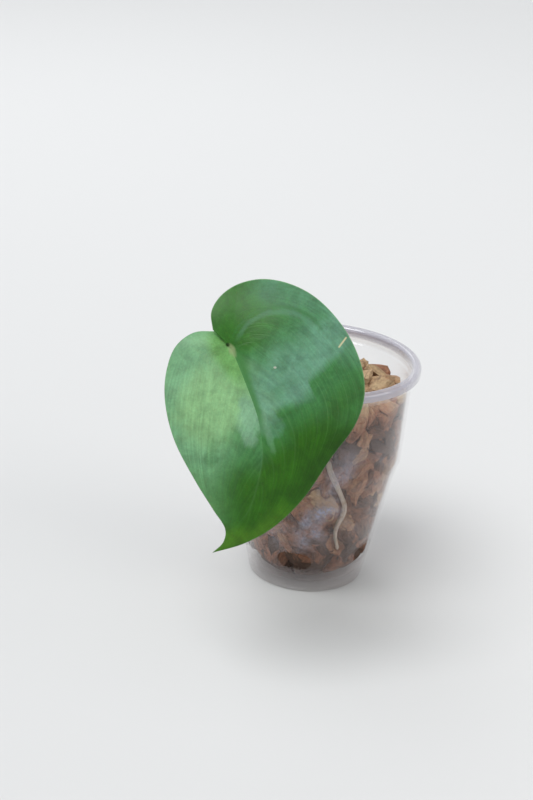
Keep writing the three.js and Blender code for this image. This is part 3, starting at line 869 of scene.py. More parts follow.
class ScindapsusLeafSettings(bpy.types.PropertyGroup):
    thickness: length_property("Thickness", "Thickness of the blade", 0.5)
    ridge: length_property("Midrib ridge", "How far the midrib stands out behind", 1.1)
    ridge_width: length_property("Midrib width", "Half width of the midrib", 1.6)
    fresh: color_property("Fresh green", "Young tissue of the left half", (0.142, 0.315, 0.158))
    glow: color_property("Yellowish green", "Middle of the left half, and the veins", (0.205, 0.39, 0.175))
    young: color_property("Clear green", "Beside the petiole", (0.122, 0.31, 0.078))
    mid: color_property("Mid green", "Plain tissue of the lobe", (0.036, 0.15, 0.036))
    # Partly the leaf's own silvery patches and partly painted sheen.
    silver_and_painted_sheen: color_property("Silver green", "Faint silvery patches", (0.11, 0.255, 0.165))
    # Painted highlights beside the midrib.
    painted_highlight: color_property("Pale sheen", "Palest patches beside the midrib", (0.195, 0.375, 0.23))
    deep: color_property("Deep green", "Plain tissue towards the tip", (0.02, 0.094, 0.003))
    lime: color_property("Leaf green", "Thin margin near the tip", (0.048, 0.14, 0.007))
    callus: color_property("Callus", "Pale spot above the petiole", (0.25, 0.32, 0.15))
    back: color_property("Underside", "Paler green behind", (0.15, 0.27, 0.125))
    scratch: color_property("Scratch", "Dry scratch", (0.55, 0.5, 0.3))
    fleck: color_property("Fleck", "Pale fleck", (0.66, 0.6, 0.52))


class ScindapsusStageSettings(bpy.types.PropertyGroup):
    floor_color: color_property("Floor", "Colour of the floor", (0.64, 0.64, 0.635))
    sky: FloatProperty(name="Sky", description="Strength of the even light", default=0.62, min=0)
    key: FloatProperty(name="Key", description="Strength of the wide distant light", default=1.88, min=0)
    fill: FloatProperty(name="Fill", description="Power of a side light", default=1.6, min=0, unit="POWER")


class ScindapsusSettings(bpy.types.PropertyGroup):
    cup: PointerProperty(type=ScindapsusCupSettings)
    mix: PointerProperty(type=ScindapsusMixSettings)
    stem: PointerProperty(type=ScindapsusStemSettings)
    petiole: PointerProperty(type=ScindapsusPetioleSettings)
    leaf: PointerProperty(type=ScindapsusLeafSettings)
    stage: PointerProperty(type=ScindapsusStageSettings)


def clear_plastic(settings):
    """Clear moulded plastic: a thin veil on the wall that thickens towards grazing angles, at the rim and
    the foot, and where moisture mists it in fine beads, all under a gloss that follows Fresnel's law."""
    finish = Finish("clear_plastic", IOR=1.5, Specular_IOR_Level=0.3)
    place = finish.place()
    height = finish.height(place)
    cloud = finish.noise(place, scale=36, detail=5, roughness=0.6, warp=0.3)
    beads = finish.noise(place, scale=900, detail=3, roughness=0.6)
    collar_level, lip_level = CUP_HEIGHT - COLLAR_DEPTH, CUP_HEIGHT - RIM_DROP
    collar = height.eased(collar_level - COLLAR_EASE, collar_level + COLLAR_EASE)
    lip = height.eased(lip_level - LIP_EASE, lip_level + LIP_EASE)
    misted = cloud.eased(0.44, 0.66) * height.inside(*MIST_BAND)
    patches = misted * beads.eased(0.36, 0.64, 0.5, 1.5) * (settings.mist - settings.veil)
    grazing = finish.node("ShaderNodeLayerWeight", inputs={"Blend": 0.25}, output="Facing")
    veil = settings.veil + patches + height.eased(*FOOT_FOG) * FOOT_VEIL
    veil = veil + collar * COLLAR_VEIL + lip * LIP_VEIL + grazing * GRAZING_VEIL
    finish.set(Alpha=finish.math("MINIMUM", veil, MOST_VEIL))
    layers = [(misted, 1, settings.fog), (lip, 1, scaled(settings.tint, LIP_SHADE))]
    finish.set(Base_Color=finish.painted(settings.haze, layers))
    finish.set(Roughness=cloud.eased(0.35, 0.7, 0.2, 0.4))
    relief = finish.bump(cloud, 0.5, 0.25, finish.bump(beads, 0.05, 0.3))
    finish.set(Normal=relief)
    finish.gloss(0.014 + collar * 0.05, 0.1, relief)
    return finish.material


def bark(settings):
    """Broken conifer bark: each chip has its own tone, long grain, thin layers and a pitted skin. It is pale
    at the surface, partly as dry bark and partly as painted light from above, has painted shade just below
    it, and grows darker towards the bottom."""
    finish = Finish("bark")
    along, across = finish.map_place("grain")
    tone = finish.mark("tone")
    offset = tone * 37
    place = finish.place()
    height = finish.height(place)
    lengthwise = finish.vector(along * 0.16, across, offset)
    fibres = finish.noise(lengthwise, scale=17, detail=6, roughness=0.62, warp=0.5)
    pits = finish.noise(place, scale=900, detail=5, roughness=0.7)
    blotch = finish.noise(place, scale=190)
    layered = finish.vector(finish.mark("layer") * 0.9, offset, blotch)
    bands = finish.noise(layered, scale=1.4, roughness=0.6)
    # The top is paler, partly dry bark and partly painted light from above; the band just below it is
    # darkened as painted shade.
    dry = height.eased(*DRY_AND_LIT_BAND)
    darker_low_and_shaded = height.eased(*LOW_DARK_BAND) * 0.3 + height.eased(*SHADED_BAND) * (1 - dry) * 0.12
    shade = tone * 0.7 + fibres * 0.5 + blotch * 0.4 - 0.33 + dry * 0.27 - darker_low_and_shaded
    middle = blended(settings.warm, settings.pale)
    stops = [(0.15, settings.dark), (0.42, settings.warm), (0.66, middle), (0.95, settings.pale)]
    color = finish.node("ShaderNodeValToRGB", {"stops": stops}, {"Fac": shade})
    layers = [
        (bands.eased(0.5, 0.62), 0.45, settings.dark),
        (pits.eased(0.55, 0.38), 0.32, settings.dark),
    ]
    finish.set(Base_Color=finish.painted(color, layers))
    finish.set(Roughness=fibres.eased(0.3, 0.7, 0.95, 0.72))
    grain = finish.bump(fibres, 0.9, 0.9, finish.bump(pits, 0.5, 0.8))
    finish.set(Normal=finish.bump(bands, 0.7, 0.7, grain))
    return finish.material


def fine_mix(settings):
    """Dark, damp crumbs between the chips."""
    finish = Finish("fine_mix", Roughness=0.9)
    place = finish.place()
    crumbs = finish.noise(place, scale=260, detail=6, roughness=0.7)
    cells = finish.node("ShaderNodeTexVoronoi", inputs={"Vector": place, "Scale": 330})
    layers = [
        (crumbs.eased(0.4, 0.7), 1, settings.warm),
        (cells.eased(0.5, 0.9), 0.5, settings.dark),
    ]
    finish.set(Base_Color=finish.painted(scaled(settings.dark, 0.55), layers))
    finish.set(Normal=finish.bump(crumbs, 1.2, 0.9, finish.bump(cells, 0.8, 0.6)))
    return finish.material


def plant_skin(name, color, dry, contrast, patches):
    """Smooth plant skin with long faint streaks, speckles and dry ends. The run attribute goes from 0 to 1
    along the piece."""
    finish = Finish(name, Subsurface_Weight=0.08, Subsurface_Scale=0.002)
    place = finish.place()
    x, y, _ = finish.parts(finish.mark("section", "Vector"))
    lengthwise = finish.vector(x * 3, y * 3, finish.mark("run") * 4)
    streaks = finish.noise(lengthwise, scale=2.2, detail=5, roughness=0.6)
    specks = finish.noise(place, scale=1500, detail=3, roughness=0.6)
    blotch = finish.noise(place, scale=260, roughness=0.6)
    paler = tuple((1 + 0.35 * contrast) * part + 0.03 * contrast for part in color)
    layers = [
        (streaks.eased(0.35, 0.68), 1, paler),
        (blotch.eased(0.52, 0.7), patches, dry),
        (finish.mark("dryness"), 1, dry),
    ]
    finish.set(Base_Color=finish.painted(scaled(color, 1 - 0.45 * contrast), layers))
    finish.set(Roughness=streaks.eased(0.3, 0.7, 0.36, 0.55))
    finish.set(Normal=finish.bump(streaks, 0.4, 0.5, finish.bump(specks, 0.08, 0.5)))
    return finish.material


class LeafFinish(Finish):
    """The leaf's finish, and the places that its markings follow. The grid map holds the share of the margin
    and how far out to it a place lies, the blade attribute its place in the leaf's plane, rim and reach its
    distances from the margin and the midrib, and the face attribute which side it is on."""

    def __init__(self):
        super().__init__("leaf", Subsurface_Weight=0.05, Subsurface_Scale=0.0015, Specular_IOR_Level=0.22)
        share, side = self.map_place("grid")
        side = side * 2 - 1
        across = abs(side)
        self.right = self.math("GREATER_THAN", side, 0)
        self.left = 1 - self.right
        x, y, _ = self.parts(self.mark("blade", "Vector"))
        self.face, rim, reach = (self.mark(name) for name in ("face", "rim", "reach"))
        self.vein_run = share - VEIN_LEAVE * across - VEIN_SWEEP * across**2
        vein_place = self.vector(self.vein_run * 26, across * 3, self.right * 5)
        self.streaks = self.noise(vein_place, scale=1.5, detail=5, roughness=0.6, warp=0.3)
        self.mottle = self.noise(self.vector(x * 0.2, y * 0.2), 1, detail=4, roughness=0.6, warp=0.5)
        self.cloud = self.noise(self.vector(x * 0.09, y * 0.07, 4), 1, detail=5, roughness=0.62, warp=0.4)
        self.speckle = self.noise(self.place(), scale=1500, detail=4, roughness=0.6)
        self.uneven = self.mottle - 0.5
        drift = (self.streaks - 0.5) * 10
        self.where = {
            "x": x,
            "y": y,
            "rim": rim,
            "reach": reach,
            "share": share,
            "across": across,
            "ragged rim": rim + self.uneven * 10,
            "ragged share": share + self.uneven * 0.06,
            "streaky x": x + drift * 0.5,
            "streaky y": y + drift * 0.4,
            "sloping y": y - x * 0.45 + drift * 0.3,
            "collar reach": reach - (y + 4) * 0.25,
            "groove reach": reach / y.eased(-15, -4, 3, 4.6),
        }

    def window(self, name):
        """1 where each value of a marking's window lies inside its range."""
        ranges = LEAF_WINDOWS[name].items()
        first, *others = (self.where[value].inside(*places) for value, places in ranges)
        return math.prod(others, start=first)

    def along_line(self, place, slope):
        """Distances along a line through a place, and above it."""
        (place_x, place_y), (cosine, sine) = place, slope
        right_by, up_by = self.where["x"] - place_x, self.where["y"] - place_y
        return right_by * cosine + up_by * sine, up_by * cosine - right_by * sine

    def distance_from(self, place, stretch=1):
        """Distance from a place, with heights counted more by the stretch."""
        right_by, up_by = self.along_line(place, (1, 0))
        return (right_by**2 + up_by**2 * stretch) ** 0.5

    def ellipse(self, centre_x, centre_y, half_width, half_height, tilt=0):
        """The squared distance from the centre of a tilted ellipse, 1 on its outline."""
        slope = (math.cos(math.radians(tilt)), math.sin(math.radians(tilt)))
        along, above = self.along_line((centre_x, centre_y), slope)
        return (along / half_width) ** 2 + (above / half_height) ** 2

    def patches(self, name):
        """Ragged patches at their strengths."""
        return sum(
            (self.ellipse(*ellipse) + self.uneven * 3).eased(1.5, 0.2) * strength
            for *ellipse, strength in LEAF_PATCHES[name]
        )

    def veins(self, count, width):
        """1 on evenly spread side veins and 0 between them."""
        # The 40 keeps the number above 0, and the halves put a vein on each whole one.
        offset = abs(self.math("FRACT", self.vein_run * count + 40.5) - 0.5)
        return (offset * (self.where["across"] + 0.3)).eased(width, 0)


def silver_and_painted_sheen_tissue(leaf):
    """Where the right half is silvery, partly as the leaf's own silvery patches and partly as painted
    reflection: above the slanting line, in the teeth below it, along the lobe's margin and in an apron by
    the midrib, with a thin bloom at the right margin. Also where it is plain."""
    run, above = leaf.along_line(*SILVER_SHEEN_LINE)
    ragged = leaf.uneven * SILVER_SHEEN_RAGGEDNESS
    run, beyond = run + ragged, ragged - above
    tooth = leaf.math("FRACT", run / TOOTH_PITCH + TOOTH_START)
    tooth = tooth * tooth.eased(1, TOOTH_PEAK) * leaf.math("LESS_THAN", run, LAST_TOOTH)
    slant = (beyond - tooth * TOOTH_DEPTH).eased(*SILVER_SHEEN_EDGE) * beyond.eased(*SILVER_SHEEN_RANGE)
    slant = slant * beyond.eased(*TOOTH_RANGE, TOOTH_FADE, 1)
    rim, bloom = leaf.window("silver rim") * LOBE_SILVER_SHEEN, leaf.window("bloom") * BLOOM_SILVER_SHEEN
    silver_and_painted_sheen = leaf.largest(slant, leaf.patches("apron"), bloom, rim) * leaf.right
    silver_and_painted_sheen = silver_and_painted_sheen * leaf.cloud.eased(0.3, 0.62, 0.55, 1.05)
    plain = (beyond - tooth * 2).eased(*PLAIN_RANGE) * leaf.right
    return silver_and_painted_sheen, plain * (1 - leaf.window("fresh margin") * 0.4)


def leaf_tissue(leaf, settings, silver_and_painted_sheen, plain):
    """The upper face's greens. The left half is fresh green and yellowish in its middle, and the right half
    is mid green and silvery, partly as painted reflection. Both darken towards the tip, whose thin margin is
    leaf green. Painted shade lies where the lobes overlap, on the right lobe and along the lower right
    margin, and painted highlights lie beside the midrib."""
    left, right, window, patches = leaf.left, leaf.right, leaf.window, leaf.patches
    strip = window("strip") * left
    lower = leaf.largest(window("lower left"), patches("lower left")) * left
    return leaf.painted(settings.fresh, [
        (right, 1, settings.mid),
        (window("flank") * left, 0.7, settings.glow),
        (leaf.cloud.eased(0.55, 0.35) * left, 0.4, settings.glow),
        ((leaf.ellipse(*GLOW_ELLIPSE) + leaf.uneven).eased(1.3, 0.2) * left, 0.9, settings.glow),
        (window("collar") * left, 0.8, settings.young),
        # Painted shade in the left lobe's corner, beside the overlapping lobe.
        (patches("lobe overlap shade") * left, 1, scaled(settings.young, 0.6)),
        (strip, 0.6, leaf.mix(strip * 0.5, settings.mid, settings.lime)),
        (lower, 0.85, settings.mid),
        (lower * window("below"), 0.95, settings.deep),
        # Painted shade on the right lobe.
        (window("lobe") * right, 0.7, scaled(settings.deep, 1.3)),
        (window("beside midrib") * right, 0.42, settings.glow),
        (plain, 1, settings.deep),
        # Painted shade along the lower half of the right margin.
        (window("lower margin shade") * right, 0.5, scaled(settings.deep, 0.5)),
        # Silvery patches, partly the leaf's own and partly painted sheen.
        (silver_and_painted_sheen, 1, settings.silver_and_painted_sheen),
        # Painted highlights beside the midrib.
        (patches("left sheen") * left + patches("right sheen") * right, 0.75, settings.painted_highlight),
        (leaf.largest(window("lime margin") * right, window("lime tip")), 0.9, settings.lime),
    ])


def leaf_marks(leaf, settings, color, vein_lines):
    """The fine marks over the greens: veins, painted shade in the midrib's groove, the midrib's thread,
    painted shade and a painted highlight along a crease that arches over the lobe, a painted highlight along
    the margin, the callus with a painted shadow dot above it, a short scratch and a pale fleck."""
    right, window, y = leaf.right, leaf.window, leaf.where["y"]
    faint = leaf.streaks.eased(0.3, 0.65, 0.2, 1) * window("veins") * y.eased(-45, -20, 0.4, 1)
    groove_shade_color = scaled(blended(settings.mid, settings.young, 0.144), 1.11)
    from_arch = leaf.distance_from(ARCH_PLACE)
    arch_crease_shade = abs(from_arch - ARCH_SHADE_RADIUS).eased(0.9, 0.1)
    arch_crease_highlight = abs(from_arch - ARCH_HIGHLIGHT_RADIUS + leaf.uneven * 2).eased(1.3, 0.2)
    arch = window("arch") * right
    along, above = leaf.along_line(*SCRATCH)
    return leaf.painted(color, [
        (vein_lines, faint, settings.glow),
        # Painted shade in the midrib's groove.
        (window("groove") * right, 0.85, groove_shade_color),
        (window("thread"), 0.06, settings.glow),
        # Painted shade of the arching crease, with a painted highlight beside it.
        (arch_crease_shade * arch, 0.4, settings.mid),
        (arch_crease_highlight * arch, 0.3, settings.silver_and_painted_sheen),
        # A painted highlight along the margin.
        (window("margin highlight"), y.eased(-25, 0) * right * 0.4 + 0.1, settings.glow),
        (leaf.patches("callus"), 1, settings.callus),
        # A painted shadow dot where the lobes part.
        (leaf.distance_from(SINUS_SHADOW_PLACE).eased(0.95, 0.3), 0.85, scaled(settings.deep, 0.3)),
        (abs(along).eased(*SCRATCH_ENDS) * abs(above).eased(*SCRATCH_SIDES), 0.85, settings.scratch),
        (leaf.distance_from(FLECK_PLACE, stretch=2).eased(0.65, 0.35), 0.5, settings.fleck),
    ])


def leaf_skin(settings):
    """The leaf's two faces: the green tissue, its uneven tone and the marks on it, and the paler underside
    with its veins."""
    leaf = LeafFinish()
    streaks, speckle = leaf.streaks, leaf.speckle
    silver_and_painted_sheen, plain = silver_and_painted_sheen_tissue(leaf)
    grained = leaf.where["share"].eased(0.1, 0.45, 0.3, 1)
    shade = speckle.eased(0.3, 0.7, 0.93, 1.07) * leaf.mottle.eased(0.3, 0.7, 0.84, 1.16)
    shade = shade * (streaks.eased(0.3, 0.7, -0.12, 0.12) * grained + 1)
    main_veins, fine_veins = leaf.veins(VEIN_COUNT, 0.08), leaf.veins(VEIN_COUNT * 3, 0.14)
    color = leaf.mix(1, leaf_tissue(leaf, settings, silver_and_painted_sheen, plain), shade, "MULTIPLY")
    color = leaf_marks(leaf, settings, color, main_veins * 0.06 + fine_veins * 0.035)

    back = leaf.painted(settings.back, [
        (streaks.eased(0.35, 0.7), 0.5, settings.mid),
        (leaf.cloud.eased(0.4, 0.65), 0.35, settings.fresh),
    ])
    back = leaf.painted(leaf.mix(1, back, shade, "MULTIPLY"), [
        (main_veins * 0.6 + fine_veins * 0.15, 1, settings.glow),
        (leaf.window("midrib behind"), 0.8, settings.glow),
    ])
    leaf.set(Base_Color=leaf.mix(leaf.face, color, back))
    leaf.set(Roughness=(silver_and_painted_sheen * 0.4 + leaf.face * 0.5 + speckle * 0.4).eased(0, 1, 0.34, 0.52))
    ribs = leaf.bump(streaks * grained, 0.3, 0.3, leaf.bump(speckle, 0.1, 0.35))
    leaf.set(Normal=leaf.bump(main_veins * grained * -1, 0.1, 0.25, ribs))
    return leaf.material


def plain_floor(settings):
    """Pale matt floor with a barely uneven tone."""
    finish = Finish("pale_floor", Roughness=0.75)
    layers = [(finish.noise(finish.place(), scale=3, detail=3), 0.12, scaled(settings.floor_color, 0.93))]
    finish.set(Base_Color=finish.painted(settings.floor_color, layers))
    return finish.material


class SCINDAPSUS_OT_cup(bpy.types.Operator):
    """Clear nursery cup with a turned-down rim, wall slots and drain holes"""

    bl_idname = "scindapsus.cup"
    bl_label = "Cup"

    def execute(self, context):
        settings = context.scene.scindapsus.cup
        outline = rounded(cup_outline(), settings.edge / MM)
        cup = mesh_piece("clear_cup", [turned(outline, settings.sides)], crease=CUP_CREASE)
        angles = FIRST_SLOT_ANGLE + np.arange(SLOTS) * 360 / SLOTS
        cut(cup, [slot_cutter(angle) for angle in angles])
        cut(cup, [drain_cutter(angle + 180 / SLOTS) for angle in angles])
        cup.data.set_sharp_from_angle(angle=math.radians(CUP_CREASE))
        settle(cup, "cup", clear_plastic(settings))
        return {"FINISHED"}


class SCINDAPSUS_OT_mix(bpy.types.Operator):
    """Bark chips of many tones round a core of fine mix"""

    bl_idname = "scindapsus.mix"
    bl_label = "Growing mix"

    def execute(self, context):
        settings = context.scene.scindapsus.mix
        random = np.random.default_rng(SEED)
        largest = np.array([settings.chip_length, settings.chip_breadth, settings.chip_depth]) / MM
        places, outward = self.spots(random, settings)
        count = len(places)
        sizes = largest * random.uniform(*CHIP_SIZES, (count, 3))
        shapes = chip_shapes(random, count, sizes)
        matrices = facing(random, outward, CHIP_LEAN)
        nets = pressed(places[:, None, None] + np.einsum("nabi,nij->nabj", shapes, matrices))
        nets = pressed(roots_clear(stem_clear(nets), context.scene.scindapsus.stem.root_radius / MM))
        each = CHIP_LEVELS * CHIP_SIDES
        tone = np.repeat(random.beta(2.0, 2.0, count), each)
        local = shapes.reshape(-1, 3)
        grain = local[:, :2] / largest[0] + np.repeat(random.uniform(0, 50, (count, 2)), each, axis=0)
        marks = {"tone": tone, "layer": local[:, 2]}
        chips = mesh_piece("bark_chips", nets, {"grain": grain}, marks, crease=CHIP_CREASE)
        settle(chips, "growing_mix", bark(settings))
        core = mesh_piece("fine_mix", [self.core(random)])
        settle(core, "growing_mix", fine_mix(settings))
        return {"FINISHED"}

    def spots(self, random, settings):
        """Where the chips lie and which way they look: a golden-angle spiral up the wall, and another one
        over the surface."""
        index = np.arange(settings.side_chips)
        height = np.interp(index + 0.5, [0, settings.side_chips], [MIX_FOOT_LEVEL - 2, SIDE_CHIP_TOP])
        angle = np.degrees(index * GOLDEN_ANGLE) + random.normal(0, CHIP_STRAY, len(index))
        depth = settings.chip_depth / MM * random.uniform(*CHIP_SINKING, len(index))
        side = polar(inner_radius(height) - MIX_GAP - depth, angle, height)
        top_index = np.arange(settings.top_chips)
        radius = TOP_CHIP_RANGE * np.sqrt((top_index + 0.5) / settings.top_chips)
        level = random.uniform(*TOP_CHIP_LEVEL, len(top_index))
        top = polar(radius, np.degrees(top_index * GOLDEN_ANGLE), level)
        outward = np.vstack([polar(1, angle, np.zeros(len(index))), np.tile([0, 0, 1], (len(top_index), 1))])
        return np.vstack([side, top]), outward

    def core(self, random, rows=90, columns=180):
        """A body of revolution under the chips, whose radius is roughened by crossed sines."""
        floor = FLOOR_UNDERSIDE + FLOOR_THICKNESS + MIX_GAP
        top = MIX_TOP - CORE_TOP_INSET
        outline = [
            [0, floor],
            [inner_radius(floor) - CORE_INSET - MIX_FOOT_INSET, floor],
            [inner_radius(MIX_FOOT_LEVEL) - CORE_INSET, MIX_FOOT_LEVEL],
            [inner_radius(top) - CORE_INSET, top],
            [0, top + MIX_CROWN],
        ]
        net = turned(spread_along(outline, np.linspace(0, 1, rows)), columns)
        phases = random.uniform(0, 2 * np.pi, 3)
        lumps = np.sin(net * 0.9 + phases).prod(-1) + 0.6 * np.sin(net * 2.1 + phases[::-1]).prod(-1)
        return pressed(net * (1 + CORE_ROUGHNESS * lumps[..., None]))


class SCINDAPSUS_OT_stem(bpy.types.Operator):
    """Stem cutting with its ringed nodes, and the roots that follow the wall"""

    bl_idname = "scindapsus.stem"
    bl_label = "Stem and roots"

    def execute(self, context):
        settings = context.scene.scindapsus.stem
        self.make_stem(settings)
        self.make_roots(settings)
        return {"FINISHED"}

    def make_stem(self, settings, steps=110, sides=40):
        """A bar whose radius is the stem's, a little oval and finely ribbed, plus a bell round each node,
        less a thin ring groove above it."""

        def radius_at(share, angle):
            radius = settings.stem_radius / MM * (1 + STEM_OVAL * np.sin(2 * angle + STEM_TWIST * share))
            for node in STEM_NODES:
                radius = radius + settings.node_swell / MM * bell(share, node, NODE_LENGTH)
                radius = radius - RING_DEPTH * bell(share, node + RING_OFFSET, RING_LENGTH)
            return radius + RIB_DEPTH * np.sin(STEM_RIBS * angle + 2 * np.sin(9 * share))

        def dryness_at(run, _):
            return smoothstep(run, *CUT_END)

        net = bar(STEM_ROUTE, steps, sides, np.array([0, 1.0, 0]), radius_at, STEM_END)
        skin = plant_skin("stem", settings.stem_color, settings.stem_dry, contrast=0.7, patches=0.3)
        bar_piece("stem", "rooted_stem", [net], skin, dryness_at)

    def make_roots(self, settings, steps=150, sides=14):
        """Bars that leave the buried node, bend to the wall and follow it. The radius thins as
        1 - taper·share⁴ and wavers by two sines of a seeded phase."""
        random = np.random.default_rng(SEED + 1)
        base = settings.root_radius / MM
        upper = np.array([1, 1, 1]) / math.sqrt(3)
        nets = []
        for places in ROOTS:
            phases = random.uniform(0, 2 * np.pi, 3)

            def radius_at(share, turn):
                waver = sum(
                    height * np.sin(round_it * turn + along * share + phase)
                    for (height, along, round_it), phase in zip(ROOT_WAVES, phases)
                )
                return base * (1 - ROOT_TAPER * share**4 + waver)

            net = bar(root_route(places, base), steps, sides, upper, radius_at, ROOT_END)
            nets.append(pressed(net, ROOT_LEAST_GAP))

        def dryness_at(run, _):
            return 0.35 * (1 - smoothstep(run, *ROOT_AGE))

        skin = plant_skin("root", settings.root_color, settings.root_dry, contrast=0.7, patches=0.9)
        bar_piece("roots", "rooted_stem", nets, skin, dryness_at)


class SCINDAPSUS_OT_petiole(bpy.types.Operator):
    """Arched petiole: clasping base, channelled sheath and the thicker joint below the blade"""

    bl_idname = "scindapsus.petiole"
    bl_label = "Petiole"

    def execute(self, context):
        """Radius = slim stretch + base and joint that ease in, + two bells at the sheath's edges and one
        hollow between them, over the sheath's stretch, + fine ribs."""
        settings = context.scene.scindapsus.petiole
        slim, base, joint, wing, channel = (
            getattr(settings, name) / MM for name in ("radius", "base", "geniculum", "wing", "channel")
        )

        def sheath_at(share):
            return smoothstep(share, *SHEATH_STARTS) * (1 - smoothstep(share, *SHEATH_ENDS))

        def humps(angle, centres, spread):
            return sum(bell(np.degrees(angle), centre, spread) for centre in centres)

        def dryness_at(run, turn):
            return 0.6 * humps(turn, SHEATH_EDGE_ANGLES, SHEATH_DRY_SPREAD) * sheath_at(run)

        def radius_at(share, angle):
            clasp = (base - slim) * (1 - smoothstep(share, *BASE_ENDS))
            swell = (joint - slim) * smoothstep(share, *GENICULUM_STARTS)
            wings = wing * humps(angle, SHEATH_EDGE_ANGLES, SHEATH_EDGE_SPREAD)
            hollow = channel * humps(angle, (90,), SHEATH_CHANNEL_SPREAD)
            ribs = RIB_DEPTH * np.sin(PETIOLE_RIBS * angle)
            return slim + clasp + swell + sheath_at(share) * (wings - hollow) + ribs

        upper = unit(np.array([0, 1.0, 1.0]))
        net = bar(PETIOLE_ROUTE, PETIOLE_STEPS, PETIOLE_SIDES, upper, radius_at, PETIOLE_END)
        skin = plant_skin("petiole", settings.color, settings.dry, contrast=0.8, patches=0.3)
        bar_piece("petiole_stalk", "petiole", [net], skin, dryness_at)
        return {"FINISHED"}


class SCINDAPSUS_OT_leaf(bpy.types.Operator):
    """Heart-shaped leaf blade with overlapping lobes, sunken midrib and arching side veins"""

    bl_idname = "scindapsus.leaf"
    bl_label = "Leaf"

    def execute(self, context):
        settings = context.scene.scindapsus.leaf
        halves = [self.half(settings, *half) for half in LEAF_HALVES]
        turn = np.array(Matrix.Rotation(math.radians(90 - LEAF_LEAN), 3, "X"))
        nets = [net @ turn.T + LEAF_ORIGIN for net, _ in halves]
        marks = {name: np.concatenate([values[name] for _, values in halves]) for name in halves[0][1]}
        maps = {"grid": marks.pop("grid")}
        leaf = mesh_piece("leaf", nets, maps, marks, closed=False, merge=0.001)
        settle(leaf, "leaf_blade", leaf_skin(settings))
        return {"FINISHED"}

    def rays(self, margin, fan_share, fan_steps):
        """For every ray its share of the margin and of the midrib, and its two ends there. The first rays
        fan out from the midrib's start over the lobe, and the others go on to the tip."""
        fan = np.linspace(0, 1, fan_steps, endpoint=False) ** FAN_CROWDING
        along = 1 - (1 - np.linspace(0, 1, ALONG_STEPS + 1)) ** TIP_CROWDING
        share = np.concatenate([fan * fan_share, fan_share + (1 - fan_share) * along])
        along = np.concatenate([0 * fan, along])
        return share[:, None], along[:, None], smooth_route(MIDRIB, along), smooth_route(margin, share)

    def half(self, settings, side, margin, fan_share, fan_steps):
        """One half of the blade as a net that runs out over the upper face and back over the lower one, and
        the marks on it. A place lies at a share across of its ray. The lower face is the thickness under the
        upper one, and the midrib's ridge adds ridge·e^(-(distance / width)²), which thins towards the tip.
        At the edge both faces meet halfway."""
        share, along, root, rim = self.rays(margin, fan_share, fan_steps)
        width = np.linalg.norm(rim - root, axis=1)[:, None]
        out = np.sin(np.linspace(0, 1, ACROSS_STEPS) * np.pi / 2) ** MARGIN_CROWDING
        across = np.tile(np.concatenate([out, out[::-1]]), (len(share), 1))
        # The first ray closes the lobe. Its last stretch is drawn in to a point, so that no flap stands.
        across[0, [ACROSS_STEPS - 2, ACROSS_STEPS + 1]] = 1
        lower = np.concatenate([0 * out, 1 + 0 * out])[None, :]
        distance = width * across
        x, y = np.moveaxis(root[:, None] + (rim - root)[:, None] * across[..., None], -1, 0)
        thickness = settings.thickness / MM
        ridge = settings.ridge / MM * bell(distance, 0, settings.ridge_width / MM) * (1 - along**2)
        edge = self.edge(share, along, across, width)
        z = self.upper_face(side, share, across, width, y) - 0.5 * thickness * (1 - edge)
        z = z - lower * (thickness + ridge) * edge
        net = np.stack([x, y, z], axis=-1)
        grid = np.broadcast_arrays(share, 0.5 + 0.5 * side * across)
        return net, {
            "grid": np.stack(grid, axis=-1).reshape(-1, 2),
            "blade": net.reshape(-1, 3),
            "face": np.broadcast_to(lower, x.shape).ravel(),
            "reach": distance.ravel(),
            "rim": (width * (1 - across)).ravel(),
        }

    def upper_face(self, side, share, across, width, y):
        """z = -arch·(y - centre)² + rise·b·(1 - e^(-d / reach)) - roll·b·across³ + wave·b·across²·sin(2π ·
        count · share + side) + the lobe's lift, which falls off along the margin, - a low swell between the
        side veins, with d the distance from the midrib and b the ray's length over the half's width."""
        breadth = width / HALF_WIDTH
        rise = HALF_RISE * breadth * (1 - np.exp(-width * across / RISE_REACH))
        roll = MARGIN_ROLL * breadth * across**3
        wave = WAVE_HEIGHT * breadth * across**2 * np.sin(2 * np.pi * WAVE_COUNT * share + side)
        lobe = side * LOBE_OFFSET * across * np.maximum(1 - share / LOBE_SHARE, 0)
        vein_run = share - VEIN_LEAVE * across - VEIN_SWEEP * across**2
        quilt = QUILT_HEIGHT * breadth * np.cos(2 * np.pi * VEIN_COUNT * vein_run) * np.sin(np.pi * across)
        quilt = quilt * smoothstep(share, *QUILT_STARTS)
        return -LENGTH_ARCH * (y - ARCH_CENTRE) ** 2 + rise - roll + wave + lobe - quilt

    def edge(self, share, along, across, width):
        """1 inside, and rounded to 0 at the margin, at the tip and on the ray that closes the lobe."""
        margin = quarter_round((1 - across) * np.maximum(width, EDGE_ROUND) / EDGE_ROUND)
        tip = quarter_round((1 - along) / TIP_ROUND)
        return margin * tip * np.where(width * across > 0, quarter_round(share / LOBE_ROUND), share > 0)


